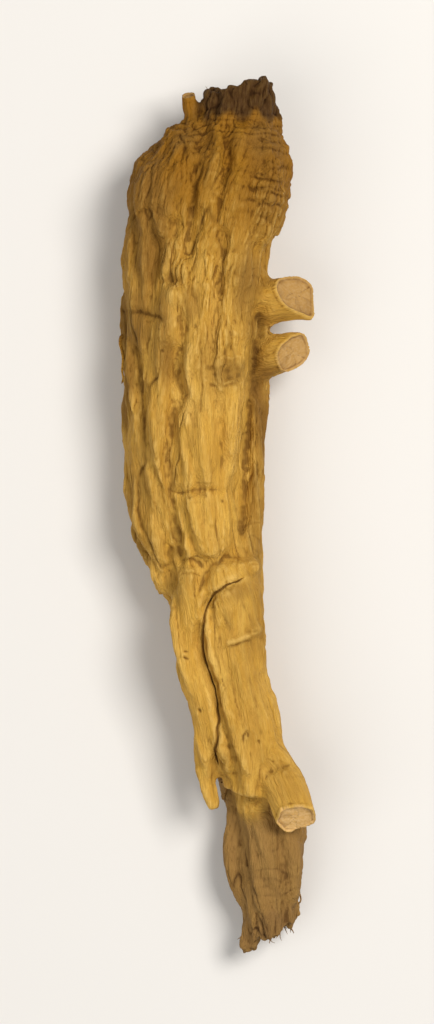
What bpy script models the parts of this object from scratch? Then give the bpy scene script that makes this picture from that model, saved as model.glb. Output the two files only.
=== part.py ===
"""A dried ginseng root, grown as one piece, lying on its back.

The crown points to +Y, the legs to -Y, and the side that shows faces +Z.
The drawing is in millimetres and is scaled to metres once, at the end.
Origin: the middle of the root's box, on the surface that it lies on.
"""

import math
from collections import namedtuple

import bmesh
import bpy
import numpy as np
from mathutils import Vector, noise

# The real length in metres, and the same length in the drawing's millimetres.
ROOT_LENGTH = 0.109
DRAWN_LENGTH = 109.0
MM = ROOT_LENGTH / DRAWN_LENGTH

# Folds of the skin: how deep, how wide from fold to fold, and how long they run.
Folds = namedtuple("Folds", "depth width run")
COARSE_FOLDS = Folds(1.15, 3.1, 34.0)
FINE_FOLDS = Folds(0.8, 1.7, 17.0)
CROSS_FOLDS = Folds(0.3, 1.9, 6.0)
LIMB_FOLDS = Folds(0.5, 2.6, 16.0)
SWELL_DEPTH = 0.6
SWELL_SIZE = 11.0
CROSS_PATCH = (9.0, 9.0, 6.0)
VALLEY_GAIN = 2.2
VALLEY_ROUNDING = 0.7
VALLEY_LEVEL = 0.6
LENGTHWISE_SHARE = 0.25

# Growth rings on the shoulder of the crown.
SHOULDER_RING_DEPTH = 0.16
SHOULDER_RING_PITCH = 1.4
SHOULDER_PLACE = (6.6, 42.3)
SHOULDER_REACH = (4.6, 6.0)

# The line that the grain follows, seen from above, and how it turns on its way.
GRAIN_Y = [-55.0, -40.0, -25.0, -12.0, 0.0, 20.0, 40.0, 55.0]
GRAIN_X = [7.5, 6.0, 2.6, 0.0, -1.8, -3.0, -1.0, 1.6]
GRAIN_HEIGHT = 7.0
GRAIN_TWIST = 0.012

# The back is pressed flat where it lies, and the skin is calmer close to it.
FLAT_DEPTH = 0.55
FLAT_CATCH = 0.08
CALM_HEIGHT = 1.4
STUMP_CALM = (1.6, 2.0)

# How finely the limbs are drawn, and the budget of the finished solid.
SIDES_PER_MM = 2.4
LOOPS_PER_MM = 1.6
VOXEL = 0.38
SOFTENING_ROUNDS = 5
TRIANGLES = 11700
SEED = 7.3

# How a broken end is dished and torn.
BREAK_DISH = 1.4
BREAK_TEAR = 0.9

# Which way the face of each knife cut looks, and how far below the limb's middle
# line the cut comes out at its end, as a share of the limb's half depth.
CUT_FACES = {
    "upper_stump": (0.55, 0.36, 0.75),
    "lower_stump": (0.58, -0.22, 0.78),
    "leg_stump": (0.12, -0.70, 0.70),
    "bud": (-0.2, 0.85, 0.5),
}
CUT_DROP = 0.3

# Each limb is a route of stations: x, y, z, half width, half depth. It ends
# "round", "cut" across, or "broken" off.
Limb = namedtuple("Limb", "ending stations")
LIMBS = {
    "body": Limb(
        "round",
        [
            (1.4, 50.6, 8.0, 3.8, 3.4),
            (1.0, 49.0, 8.0, 6.0, 5.2),
            (0.2, 46.6, 7.8, 8.0, 6.6),
            (-0.6, 43.5, 7.6, 8.8, 7.3),
            (-1.6, 39.0, 7.4, 8.7, 7.5),
            (-2.8, 33.5, 7.2, 8.0, 7.3),
            (-3.1, 27.0, 7.1, 7.7, 7.1),
            (-3.1, 18.0, 7.0, 7.6, 7.0),
            (-2.8, 9.0, 6.9, 7.3, 6.9),
            (-2.3, 2.0, 6.7, 6.7, 6.5),
            (-1.5, -5.0, 6.3, 5.9, 6.0),
            (-0.7, -12.0, 5.8, 4.8, 5.2),
        ],
    ),
    "tail": Limb(
        "broken",
        [
            (-2.4, 2.0, 5.6, 5.2, 5.2),
            (-1.0, -10.0, 5.2, 4.7, 4.7),
            (1.4, -22.0, 4.8, 4.4, 4.2),
            (4.6, -31.0, 4.5, 4.7, 3.9),
            (6.0, -38.0, 4.4, 4.8, 3.9),
            (6.1, -44.0, 4.4, 4.7, 3.7),
            (6.3, -48.5, 4.4, 4.0, 3.2),
            (6.6, -52.6, 4.4, 2.9, 2.4),
        ],
    ),
    "head_and_column": Limb(
        "round",
        [
            (2.0, 50.6, 8.8, 3.6, 3.6),
            (2.7, 48.2, 9.0, 5.4, 5.4),
            (3.0, 44.2, 9.0, 6.2, 6.2),
            (2.3, 39.0, 9.0, 5.7, 6.1),
            (1.2, 34.0, 8.9, 4.9, 5.7),
            (0.6, 28.0, 8.8, 4.6, 5.7),
            (0.1, 21.4, 8.8, 4.6, 5.7),
            (-0.8, 17.0, 8.8, 4.7, 5.7),
            (-1.6, 10.8, 8.7, 4.8, 5.7),
            (-2.0, 4.6, 8.4, 4.6, 5.5),
            (-1.5, 0.0, 8.1, 4.2, 5.2),
            (-1.1, -4.1, 7.7, 3.6, 4.7),
            (-0.9, -7.0, 7.2, 2.4, 3.4),
        ],
    ),
    "left_shoulder": Limb(
        "round",
        [
            (-3.2, 48.4, 7.8, 2.0, 2.8),
            (-5.4, 45.8, 8.0, 3.5, 5.0),
            (-6.5, 42.0, 8.0, 4.2, 5.8),
            (-6.6, 38.0, 7.8, 3.9, 5.4),
            (-6.0, 34.5, 7.2, 2.6, 4.4),
        ],
    ),
    "left_flank": Limb(
        "round",
        [
            (-7.0, 39.6, 7.2, 2.1, 3.0),
            (-8.0, 36.6, 7.2, 3.2, 4.7),
            (-8.4, 29.0, 7.1, 3.8, 5.3),
            (-8.5, 20.0, 7.0, 3.9, 5.5),
            (-8.4, 11.0, 6.9, 3.7, 5.3),
            (-7.9, 4.5, 6.9, 3.2, 4.8),
            (-7.4, -1.5, 6.9, 2.6, 4.0),
            (-6.8, -6.0, 7.0, 1.9, 2.9),
            (-6.5, -8.8, 7.1, 0.9, 1.4),
        ],
    ),
    "right_strand": Limb(
        "round",
        [
            (4.6, 29.0, 6.8, 1.0, 1.6),
            (4.5, 24.0, 6.6, 1.6, 2.7),
            (4.3, 16.0, 6.5, 1.7, 3.0),
            (4.1, 8.0, 6.5, 1.8, 3.1),
            (3.8, 1.0, 6.7, 1.9, 3.1),
            (3.5, -5.0, 7.0, 1.9, 2.9),
            (3.5, -11.0, 7.4, 1.7, 2.6),
            (4.2, -17.0, 7.7, 1.3, 2.2),
            (4.9, -21.0, 7.8, 0.8, 1.3),
        ],
    ),
    "left_leg": Limb(
        "round",
        [
            (-2.0, -0.5, 9.2, 1.5, 2.0),
            (-3.5, -6.0, 10.0, 1.9, 2.3),
            (-3.8, -12.5, 10.1, 2.15, 2.2),
            (-3.6, -16.1, 10.0, 2.25, 2.2),
            (-2.9, -19.5, 9.9, 2.15, 2.1),
            (-1.9, -23.2, 9.6, 2.0, 1.9),
            (-1.7, -27.8, 9.2, 1.65, 1.5),
            (-1.35, -31.6, 8.9, 1.2, 1.1),
            (-0.7, -36.2, 8.6, 0.6, 0.7),
        ],
    ),
    "leg_bridge": Limb(
        "round",
        [
            (3.9, -5.3, 8.6, 1.4, 2.2),
            (2.4, -5.4, 9.7, 1.45, 2.3),
            (0.8, -5.8, 10.2, 1.5, 2.3),
            (-0.8, -7.1, 10.4, 1.45, 2.3),
            (-2.1, -9.3, 10.3, 1.4, 2.2),
            (-3.0, -12.5, 10.1, 1.4, 2.0),
        ],
    ),
    "leg_web": Limb(
        "round",
        [
            (-2.3, -11.0, 9.8, 1.1, 1.8),
            (-2.1, -14.0, 9.9, 1.2, 1.8),
            (-1.6, -17.5, 9.8, 1.3, 1.8),
            (-0.4, -20.5, 9.7, 1.4, 1.8),
            (0.5, -24.0, 9.7, 1.5, 1.8),
            (1.1, -28.5, 9.6, 1.5, 1.8),
            (1.4, -31.3, 9.0, 1.2, 1.5),
        ],
    ),
    "right_leg": Limb(
        "broken",
        [
            (0.6, -4.5, 8.4, 2.4, 3.0),
            (1.5, -8.4, 9.0, 3.3, 3.8),
            (1.6, -12.7, 9.2, 3.8, 4.0),
            (2.0, -17.0, 9.1, 3.8, 4.0),
            (2.6, -20.5, 8.9, 3.7, 3.9),
            (3.5, -24.0, 8.6, 3.8, 3.8),
            (4.0, -28.0, 8.3, 3.9, 3.7),
            (4.0, -31.5, 8.0, 3.7, 3.4),
            (3.7, -34.2, 7.6, 3.2, 3.0),
        ],
    ),
    "leg_stump": Limb(
        "cut",
        [
            (5.4, -26.5, 8.6, 1.8, 2.0),
            (7.3, -30.6, 9.4, 2.4, 2.5),
            (8.8, -34.2, 10.2, 2.7, 2.5),
            (10.2, -37.9, 10.9, 2.8, 2.3),
        ],
    ),
    "upper_stump": Limb(
        "cut",
        [
            (2.5, 27.2, 7.8, 3.6, 3.2),
            (6.0, 28.0, 8.5, 3.0, 2.7),
            (8.8, 28.6, 9.1, 3.0, 2.6),
            (11.7, 28.8, 9.5, 3.2, 2.6),
        ],
    ),
    "lower_stump": Limb(
        "cut",
        [
            (2.5, 20.4, 7.2, 3.0, 2.8),
            (6.0, 21.2, 8.0, 2.7, 2.4),
            (8.6, 21.9, 8.6, 2.5, 2.2),
            (11.1, 22.3, 9.0, 2.2, 2.0),
        ],
    ),
    "neck": Limb(
        "broken",
        [
            (2.2, 48.2, 8.4, 5.2, 4.6),
            (2.5, 51.2, 8.4, 4.9, 4.3),
            (2.5, 53.6, 8.5, 4.3, 3.9),
            (2.3, 55.6, 8.6, 3.9, 3.5),
        ],
    ),
    "bud": Limb(
        "cut",
        [
            (-2.2, 48.6, 8.8, 1.3, 1.3),
            (-3.3, 51.8, 9.4, 1.1, 1.1),
            (-3.9, 54.4, 9.7, 0.9, 0.9),
        ],
    ),
}

# The limbs that were cut off short, and stay smoother.
STUMPS = ["upper_stump", "lower_stump", "leg_stump", "bud"]

# Creases (height below 0) and raised folds of the front, as lines seen from above.
Mark = namedtuple("Mark", "height half_width line")
MARKS = [
    Mark(-0.8, 0.9, [(-2.0, 49.5), (-3.0, 45.5), (-3.4, 40.6), (-4.0, 34.0)]),
    Mark(0.6, 0.8, [(-0.3, 50.4), (0.0, 48.0), (-0.3, 45.6), (-1.4, 43.4), (-2.4, 40.4)]),
    Mark(0.5, 0.8, [(2.4, 50.2), (2.5, 45.6), (1.6, 43.4), (0.5, 41.4), (0.6, 37.8)]),
    Mark(-0.5, 0.6, [(1.1, 50.0), (1.0, 46.5), (0.4, 44.2), (-0.8, 41.6), (-1.0, 36.5), (0.0, 29.0)]),
    Mark(
        -0.8,
        0.8,
        [
            (-5.2, 27.0),
            (-4.4, 23.0),
            (-5.2, 19.4),
            (-4.5, 16.4),
            (-5.8, 13.7),
            (-6.5, 7.4),
            (-6.3, 4.0),
            (-5.6, 1.1),
            (-5.0, -3.6),
        ],
    ),
    Mark(-0.7, 0.8, [(-10.3, 21.0), (-9.6, 10.0), (-9.9, 4.7), (-9.3, -3.4)]),
    Mark(-0.8, 0.8, [(5.2, 27.0), (4.8, 22.8), (4.3, 17.2), (3.7, 10.4), (3.0, 3.4), (2.6, -3.0)]),
    Mark(-0.4, 0.5, [(0.2, 13.0), (0.5, 8.7), (0.6, 5.4)]),
    Mark(-0.9, 0.7, [(-6.0, -3.4), (-4.4, -4.8), (-3.0, -4.8), (-1.8, -4.9)]),
    Mark(-0.8, 0.55, [(3.4, -3.7), (0.4, -4.2), (-1.3, -5.3), (-2.1, -6.5), (-2.8, -8.2)]),
    Mark(
        -0.75,
        0.55,
        [
            (3.4, -6.5),
            (1.1, -7.6),
            (-0.65, -8.9),
            (-1.75, -10.6),
            (-2.1, -12.8),
            (-2.0, -15.1),
            (-1.6, -17.6),
            (-0.65, -20.1),
            (-0.1, -22.6),
            (-0.2, -25.8),
            (-0.2, -29.5),
            (0.0, -32.0),
        ],
    ),
    Mark(-0.45, 0.45, [(-6.5, 4.4), (-4.2, 4.0), (-2.1, 4.4), (0.2, 4.4)]),
    Mark(-0.35, 0.5, [(-11.5, 26.8), (-8.8, 26.6), (-7.2, 25.8)]),
    Mark(-0.35, 0.5, [(-10.6, 39.0), (-7.4, 39.1), (-5.2, 37.6)]),
    Mark(-0.6, 0.5, [(5.8, -30.6), (7.2, -30.6), (8.2, -30.1), (9.6, -30.2)]),
    Mark(-0.15, 0.4, [(1.0, -15.6), (3.2, -15.2), (5.2, -14.0)]),
    Mark(0.4, 0.5, [(1.4, -14.8), (2.8, -14.5), (4.5, -13.6), (5.4, -12.9)]),
    Mark(0.8, 1.2, [(-6.0, 28.8), (-5.9, 26.4), (-6.2, 24.0)]),
    Mark(-0.4, 0.5, [(-7.9, 28.4), (-7.3, 30.4), (-6.0, 31.1), (-4.4, 30.0)]),
    Mark(0.4, 0.8, [(-3.0, 24.0), (-3.3, 19.5), (-3.2, 16.5)]),
]

# Scars where rootlets broke off: a raised rim round a pit.
Scar = namedtuple("Scar", "x y half_width half_height")
FRONT_SCARS = [
    Scar(1.2, 19.0, 2.8, 1.5),
]
OTHER_SCARS = 22
OTHER_SCAR_SIZES = (0.7, 1.3)
OTHER_SCAR_LIMIT = 46.0
SCAR_RIM = 0.4
SCAR_PIT = 0.7
FRONT_SCAR_SHARE = 0.35


def run_of(points):
    """Distance along a row of points, starting at 0."""
    steps = np.linalg.norm(np.diff(points, axis=0), axis=1)
    return np.concatenate([[0.0], np.cumsum(steps)])


def smooth_route(stations, count):
    """The stations joined by one smooth curve, as count evenly spread rows."""
    rows = np.array(stations, float)
    run = run_of(rows[:, :3])
    slope = np.gradient(rows, run, axis=0)
    at = np.linspace(0.0, run[-1], count)
    i = np.clip(np.searchsorted(run, at, side="right") - 1, 0, len(run) - 2)
    gap = (run[i + 1] - run[i])[:, None]
    t = (at - run[i])[:, None] / gap
    start = (1 + 2 * t) * (1 - t) ** 2 * rows[i] + t * (1 - t) ** 2 * gap * slope[i]
    end = t * t * (3 - 2 * t) * rows[i + 1] + t * t * (t - 1) * gap * slope[i + 1]
    return start + end, at


def limb_relief(around, along, reach, seed):
    """Height of a limb's own folds at an angle and a distance along it."""
    folds = LIMB_FOLDS
    sway = noise.noise(Vector((seed, 0.0, along / folds.run)))
    angle = around + 0.5 * sway
    side = Vector((math.cos(angle), math.sin(angle), 0.0)) * reach
    fold = noise.noise(side / folds.width + Vector((seed, 2.0 * seed, along / folds.run)))
    swell = noise.noise(side / SWELL_SIZE + Vector((-seed, seed, along / SWELL_SIZE)))
    share = min(1.0, reach / 4.0)
    return share * (folds.depth * (2.0 * abs(fold) - 0.5) + SWELL_DEPTH * swell)


def cut_aslant(mesh, end, ahead, face):
    """A knife cut through a limb's end: what lies beyond its face is taken off."""
    turned = (face - face.dot(ahead) * ahead).normalized()
    below = Vector(end[:3]) - turned * end[4] * CUT_DROP
    whole = mesh.verts[:] + mesh.edges[:] + mesh.faces[:]
    bmesh.ops.bisect_plane(mesh, geom=whole, plane_co=below, plane_no=face, clear_outer=True)
    bmesh.ops.holes_fill(mesh, edges=mesh.edges, sides=0)


def make_limb(name, limb, seed):
    """A sphere drawn out along the limb's route, with the skin's folds on it."""
    length = run_of(np.array(limb.stations, float)[:, :3])[-1]
    widest = max(station[3] for station in limb.stations)
    sides = max(20, int(2 * math.pi * widest * SIDES_PER_MM))
    loops = max(10, int(length * LOOPS_PER_MM))
    rows, along = smooth_route(limb.stations, loops)
    centres = rows[:, :3]
    ahead = np.gradient(centres, axis=0)
    mesh = bmesh.new()
    bmesh.ops.create_uvsphere(mesh, u_segments=sides, v_segments=loops + 1, radius=1.0)
    for vertex in mesh.verts:
        polar = math.acos(max(-1.0, min(1.0, vertex.co.z))) / math.pi
        loop = round(polar * (loops + 1)) - 1
        pole = not 0 <= loop < loops
        loop = min(max(loop, 0), loops - 1)
        around = math.atan2(vertex.co.y, vertex.co.x)
        tangent = Vector(ahead[loop]).normalized()
        across = tangent.cross(Vector((0, 0, 1))).normalized()
        upward = across.cross(tangent)
        wide, deep = rows[loop, 3:]
        height = limb_relief(around, along[loop], min(wide, deep), seed)
        offset = across * math.cos(around) * (wide + height)
        offset += upward * math.sin(around) * (deep + height)
        vertex.co = Vector(centres[loop]) + (Vector() if pole else offset)
        if loop == loops - 1 and limb.ending == "broken":
            tear = BREAK_TEAR * noise.noise(vertex.co * 0.3)
            vertex.co -= tangent * (BREAK_DISH if pole else tear)
    if limb.ending == "cut":
        cut_aslant(mesh, rows[-1], Vector(ahead[-1]).normalized(), Vector(CUT_FACES[name]))
    bmesh.ops.recalc_face_normals(mesh, faces=mesh.faces)
    data = bpy.data.meshes.new(name)
    mesh.to_mesh(data)
    mesh.free()
    return bpy.data.objects.new(name, data)


def baked(obj):
    """Replaces obj's mesh by what its modifiers make of it."""
    graph = bpy.context.evaluated_depsgraph_get()
    data = bpy.data.meshes.new_from_object(obj.evaluated_get(graph))
    old = obj.data
    obj.modifiers.clear()
    obj.data = data
    bpy.data.meshes.remove(old)


def fuse(limbs, name):
    """One skin round all the limbs, softened where they meet."""
    bpy.ops.object.select_all(action="DESELECT")
    for limb in limbs:
        limb.select_set(True)
    bpy.context.view_layer.objects.active = limbs[0]
    bpy.ops.object.join()
    root = bpy.context.view_layer.objects.active
    root.name = name
    skin = root.modifiers.new("one_skin", "REMESH")
    skin.mode = "VOXEL"
    skin.voxel_size = VOXEL
    soften = root.modifiers.new("soften_joins", "SMOOTH")
    soften.factor = 0.5
    soften.iterations = SOFTENING_ROUNDS
    baked(root)
    return root


def read_points(data):
    """The mesh's points and normals as rows."""
    points = np.empty(len(data.vertices) * 3, np.float32)
    normals = np.empty(len(data.vertices) * 3, np.float32)
    data.vertices.foreach_get("co", points)
    data.vertices.foreach_get("normal", normals)
    return points.reshape(-1, 3).astype(float), normals.reshape(-1, 3).astype(float)


def write_points(data, points):
    data.vertices.foreach_set("co", points.astype(np.float32).ravel())
    data.update()


def bell(share):
    """1 at 0, falling softly to nothing past 1."""
    return np.exp(-(share**2))


def distance_to_line(flat_points, line):
    """How far each point lies from a row of joined points, seen from above."""
    nearest = np.full(len(flat_points), np.inf)
    for a, b in zip(np.array(line[:-1]), np.array(line[1:])):
        share = np.clip((flat_points - a) @ (b - a) / ((b - a) @ (b - a)), 0.0, 1.0)
        gap = np.linalg.norm(flat_points - a - share[:, None] * (b - a), axis=1)
        nearest = np.minimum(nearest, gap)
    return nearest


def grain_of(points):
    """Each point across, above and along the grain, which turns slowly."""
    x = points[:, 0] - np.interp(points[:, 1], GRAIN_Y, GRAIN_X)
    z = points[:, 2] - GRAIN_HEIGHT
    turn = GRAIN_TWIST * points[:, 1]
    across = x * np.cos(turn) + z * np.sin(turn)
    above = z * np.cos(turn) - x * np.sin(turn)
    return np.column_stack([across, above, points[:, 1]])


def valleys(places, start):
    """0 at the bottom of sharp valleys and up to 1 on the rounded folds between."""
    shift = Vector((start, 2.0 * start, 3.0 * start))
    folds = [abs(noise.noise(Vector(place) + shift)) for place in places]
    return np.minimum(1.0, VALLEY_GAIN * np.array(folds)) ** VALLEY_ROUNDING


def shoulder_rings(points):
    """Height of the close rings on the crown's right shoulder."""
    reach = (points[:, :2] - SHOULDER_PLACE) / SHOULDER_REACH
    share = bell((reach**2).sum(1))
    wave = np.sin(2 * math.pi * (points[:, 1] + 0.25 * points[:, 0]) / SHOULDER_RING_PITCH)
    return SHOULDER_RING_DEPTH * share * wave


def calm_share(points):
    """How much of the relief a point keeps: little near the ground and on stumps."""
    stumps = [[station[:2] for station in LIMBS[name].stations] for name in STUMPS]
    away = np.min([distance_to_line(points[:, :2], line) for line in stumps], axis=0)
    start, fade = STUMP_CALM
    lift = (points[:, 2] - points[:, 2].min()) / CALM_HEIGHT
    return np.clip((away - start) / fade, 0.15, 1.0) * np.clip(lift, 0.1, 1.0)


def wrinkle(root):
    """Folds along the grain all round the root, and rings across it."""
    points, normals = read_points(root.data)
    grain = grain_of(points)
    height = shoulder_rings(points)
    for start, folds in ((SEED, COARSE_FOLDS), (SEED + 5.0, FINE_FOLDS)):
        places = grain / (folds.width, folds.width, folds.run)
        height += folds.depth * (valleys(places, start) - VALLEY_LEVEL)
    folds = CROSS_FOLDS
    patch = valleys(grain / CROSS_PATCH, SEED - 3.0)
    rings = valleys(grain / (folds.run, folds.run, folds.width), SEED + 20.0)
    height += folds.depth * patch * (rings - VALLEY_LEVEL)
    outward = normals * (1.0, LENGTHWISE_SHARE, 1.0)
    height *= calm_share(points)
    write_points(root.data, points + outward * height[:, None])


def scar_relief(out, size):
    """A rim and a pit, for a distance of 1 at the rim."""
    return SCAR_RIM * size * bell((out - 1.0) / 0.35) - SCAR_PIT * size * bell(out / 0.6)


def carve_front(root):
    """Creases, raised folds and rootlet scars on the side that shows."""
    points, normals = read_points(root.data)
    front = np.clip(normals[:, 2] * 2.0, 0.0, 1.0)
    height = np.zeros(len(points))
    for mark in MARKS:
        height += mark.height * bell(distance_to_line(points[:, :2], mark.line) / mark.half_width)
    for scar in FRONT_SCARS:
        across = (points[:, 0] - scar.x) / scar.half_width
        along = (points[:, 1] - scar.y) / scar.half_height
        height += scar_relief(np.hypot(across, along), FRONT_SCAR_SHARE * min(1.0, scar.half_height))
    write_points(root.data, points + normals * (front * height)[:, None])


def scar_the_rest(root):
    """Small scars of broken rootlets, scattered over the sides and the back."""
    points, normals = read_points(root.data)
    draw = np.random.default_rng(11)
    inland = np.abs(points[:, 1]) < OTHER_SCAR_LIMIT
    rest = np.nonzero((normals[:, 2] < 0.3) & inland)[0]
    height = np.zeros(len(points))
    for centre in points[draw.choice(rest, OTHER_SCARS, replace=False)]:
        size = draw.uniform(*OTHER_SCAR_SIZES)
        out = np.linalg.norm((points - centre) * (1.0, 1.25, 1.0), axis=1) / size
        height += scar_relief(out, 0.8 * size)
    write_points(root.data, points + normals * height[:, None])


def thin_out(root):
    """One clean skin again, then fewer triangles, kept where folds need them."""
    skin = root.modifiers.new("clean_skin", "REMESH")
    skin.mode = "VOXEL"
    skin.voxel_size = VOXEL
    baked(root)
    root.data.calc_loop_triangles()
    fewer = root.modifiers.new("fewer_triangles", "DECIMATE")
    fewer.ratio = TRIANGLES / len(root.data.loop_triangles)
    fewer.use_collapse_triangulate = True
    baked(root)


def settle(root):
    """Presses the back flat where it lies, and puts the origin under its middle."""
    points, _ = read_points(root.data)
    points[:, :2] -= (points[:, :2].min(0) + points[:, :2].max(0)) / 2
    points[:, 2] -= points[:, 2].min() + FLAT_DEPTH
    points[points[:, 2] < FLAT_CATCH, 2] = 0.0
    write_points(root.data, points * MM)


def root_skin():
    """Dry ochre skin, matt."""
    material = bpy.data.materials.new("root_skin")
    material.use_nodes = True
    shader = material.node_tree.nodes["Principled BSDF"]
    shader.inputs["Base Color"].default_value = (0.60, 0.38, 0.12, 1.0)
    shader.inputs["Roughness"].default_value = 0.78
    shader.inputs["Metallic"].default_value = 0.0
    return material


def main():
    for obj in list(bpy.data.objects):
        bpy.data.objects.remove(obj)
    collection = bpy.data.collections.new("ginseng_root")
    bpy.context.scene.collection.children.link(collection)
    limbs = [make_limb(name, limb, SEED + i) for i, (name, limb) in enumerate(LIMBS.items())]
    for limb in limbs:
        collection.objects.link(limb)
    root = fuse(limbs, "ginseng_root")
    wrinkle(root)
    carve_front(root)
    scar_the_rest(root)
    thin_out(root)
    settle(root)
    root.data.name = root.name
    root.data.shade_smooth()
    root.data.materials.clear()
    root.data.materials.append(root_skin())


main()
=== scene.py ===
# %% [markdown]
# # A dried ginseng root
#
# A ginseng root is lifted after some years, washed, trimmed and dried. It loses two thirds of its
# weight, so its skin shrinks into long folds that run from the crown to the legs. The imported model
# already has the root's shape. This lesson gives it its skin: finer folds, growth rings, scars,
# cut ends, torn fibres and colour. Everything stays in the frame's metres and on its axes: the
# crown points to +Y, the legs to -Y, and the side that shows faces up.

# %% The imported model
import math

import bmesh
import bpy
import numpy as np
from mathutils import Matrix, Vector, noise
from mathutils.bvhtree import BVHTree


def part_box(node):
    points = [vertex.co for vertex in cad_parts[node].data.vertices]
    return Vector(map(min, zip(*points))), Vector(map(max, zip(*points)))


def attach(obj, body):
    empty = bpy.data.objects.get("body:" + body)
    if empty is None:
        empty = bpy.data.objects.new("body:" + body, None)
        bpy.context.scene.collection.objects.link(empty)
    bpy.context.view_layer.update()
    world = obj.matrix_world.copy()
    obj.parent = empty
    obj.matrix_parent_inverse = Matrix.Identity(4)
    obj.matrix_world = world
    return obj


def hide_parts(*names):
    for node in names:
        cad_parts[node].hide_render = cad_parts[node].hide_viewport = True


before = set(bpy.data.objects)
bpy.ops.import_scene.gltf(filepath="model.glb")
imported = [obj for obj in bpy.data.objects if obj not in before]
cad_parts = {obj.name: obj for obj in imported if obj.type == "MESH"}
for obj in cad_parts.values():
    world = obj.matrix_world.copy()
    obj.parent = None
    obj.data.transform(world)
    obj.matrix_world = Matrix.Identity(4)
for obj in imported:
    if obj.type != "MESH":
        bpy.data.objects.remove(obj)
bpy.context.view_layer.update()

# %% [markdown]
# ## The camera, the light and the floor
#
# The root lies on its back on a pale table, and the camera looks straight down on it with a long
# lens, so the root shows its better side, with the cut ends of its side roots. A tall picture
# takes in its height first, so the lens is worked out from the root's length. One large soft light
# hangs high to the upper right, where it still rakes over the folds a little. A second, weaker one
# on the other side opens the shadows.

# %% Camera
CAMERA_HEIGHT = 0.70
ROOT_SHARE_OF_PICTURE = 0.84
SENSOR = 36.0

low, high = np.array(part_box("ginseng_root"))
middle = (low + high) / 2
length = high[1] - low[1]


def add_object(name, data):
    """A new object, placed in the scene."""
    obj = bpy.data.objects.new(name, data)
    bpy.context.scene.collection.objects.link(obj)
    return obj


def add_camera():
    """A camera straight above the root, with its crown at the top of the picture."""
    data = bpy.data.cameras.new("camera")
    data.sensor_width = SENSOR
    reach = CAMERA_HEIGHT - middle[2]
    data.lens = SENSOR * reach * ROOT_SHARE_OF_PICTURE / length
    data.clip_start = 0.01
    camera = add_object("camera", data)
    camera.location = (middle[0], middle[1], CAMERA_HEIGHT)
    bpy.context.scene.camera = camera
    return camera


camera = add_camera()
print("the lens is %.0f mm" % camera.data.lens)


# %% Light
SKY, SKY_STRENGTH = (0.83, 0.83, 0.83, 1.0), 0.33


def add_softbox(name, place, size, power, colour):
    """A square light at place, in metres, that looks at the root's middle."""
    data = bpy.data.lights.new(name, "AREA")
    data.size = size
    data.energy = power
    data.color = colour
    light = add_object(name, data)
    light.location = place
    aim = Vector(middle) - Vector(place)
    light.rotation_euler = aim.to_track_quat("-Z", "Y").to_euler()


add_softbox("key_light", (0.28, 0.16, 0.52), 0.28, 3.6, (1.0, 0.97, 0.93))
add_softbox("fill_light", (-0.32, -0.24, 0.50), 0.60, 1.8, (1.0, 0.99, 0.97))
world = bpy.data.worlds.new("studio")
world.use_nodes = True
world.node_tree.nodes["Background"].inputs["Color"].default_value = SKY
world.node_tree.nodes["Background"].inputs["Strength"].default_value = SKY_STRENGTH
bpy.context.scene.world = world
bpy.context.scene.view_settings.view_transform = "Standard"
print("two softboxes and a pale sky")

# %% Floor
FLOOR_HALF = 1.5
TABLE_PAINT, TABLE_ROUGHNESS = (0.72, 0.70, 0.67, 1.0), 0.85


def add_floor():
    """A plain pale table top, just under the root."""
    mesh = bpy.data.meshes.new("floor")
    corners = [(-FLOOR_HALF, -FLOOR_HALF, 0.0), (FLOOR_HALF, -FLOOR_HALF, 0.0)]
    corners += [(FLOOR_HALF, FLOOR_HALF, 0.0), (-FLOOR_HALF, FLOOR_HALF, 0.0)]
    mesh.from_pydata(corners, [], [(0, 1, 2, 3)])
    floor = add_object("floor", mesh)
    paint = bpy.data.materials.new("pale_table")
    paint.use_nodes = True
    shader = paint.node_tree.nodes["Principled BSDF"]
    shader.inputs["Base Color"].default_value = TABLE_PAINT
    shader.inputs["Roughness"].default_value = TABLE_ROUGHNESS
    mesh.materials.append(paint)


add_floor()
print("the floor is", 2 * FLOOR_HALF, "m wide")

# %% [markdown]
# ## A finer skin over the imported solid
#
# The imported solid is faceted, with about twelve thousand triangles, because it also has to be
# weighed and dropped. The skin needs far more points. Subdivision would keep the solid's uneven
# triangles, and their edges would show. A voxel remesh lays an even net of small squares over
# the shape instead, and a few rounds of smoothing take the facets out. Smoothing alone would
# shrink the thin legs, so every round in is followed by a slightly larger round out.
#
# From here on the sculpting is done in millimetres, in the same drawing as the solid's, where
# every place is easy to read. DRAWING_ZERO says where the frame's origin lies in that drawing.

# %% The finer skin
MM = 0.001
DRAWING_ZERO = np.array([-0.193, 1.604, 0.360])
NET = 0.18
FACET_ROUNDS = 24
ROUND_IN = 0.60
ROUND_OUT = -0.63


def read(mesh, what):
    """The points or the normals of a mesh as rows of x, y, z."""
    rows = np.empty(len(mesh.vertices) * 3, np.float32)
    mesh.vertices.foreach_get(what, rows)
    return rows.reshape(-1, 3).astype(float)


def write(mesh, points):
    """Moves a mesh's points."""
    mesh.vertices.foreach_set("co", points.astype(np.float32).ravel())
    mesh.update()


def edges_of(mesh):
    """The two ends of every edge, as two rows of numbers."""
    ends = np.empty(len(mesh.edges) * 2, np.int32)
    mesh.edges.foreach_get("vertices", ends)
    return ends.reshape(-1, 2).T


def neighbours_mean(values, edges):
    """Each point's mean over its neighbours, for one column of values or more."""
    start, end = edges
    count = len(values)
    share = 1.0 / np.maximum(1, np.bincount(start, minlength=count) + np.bincount(end, minlength=count))
    columns = values.reshape(count, -1)
    means = np.empty_like(columns)
    for i in range(columns.shape[1]):
        column = columns[:, i]
        total = np.bincount(start, column[end], count) + np.bincount(end, column[start], count)
        means[:, i] = total * share
    return means.reshape(values.shape)


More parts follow.
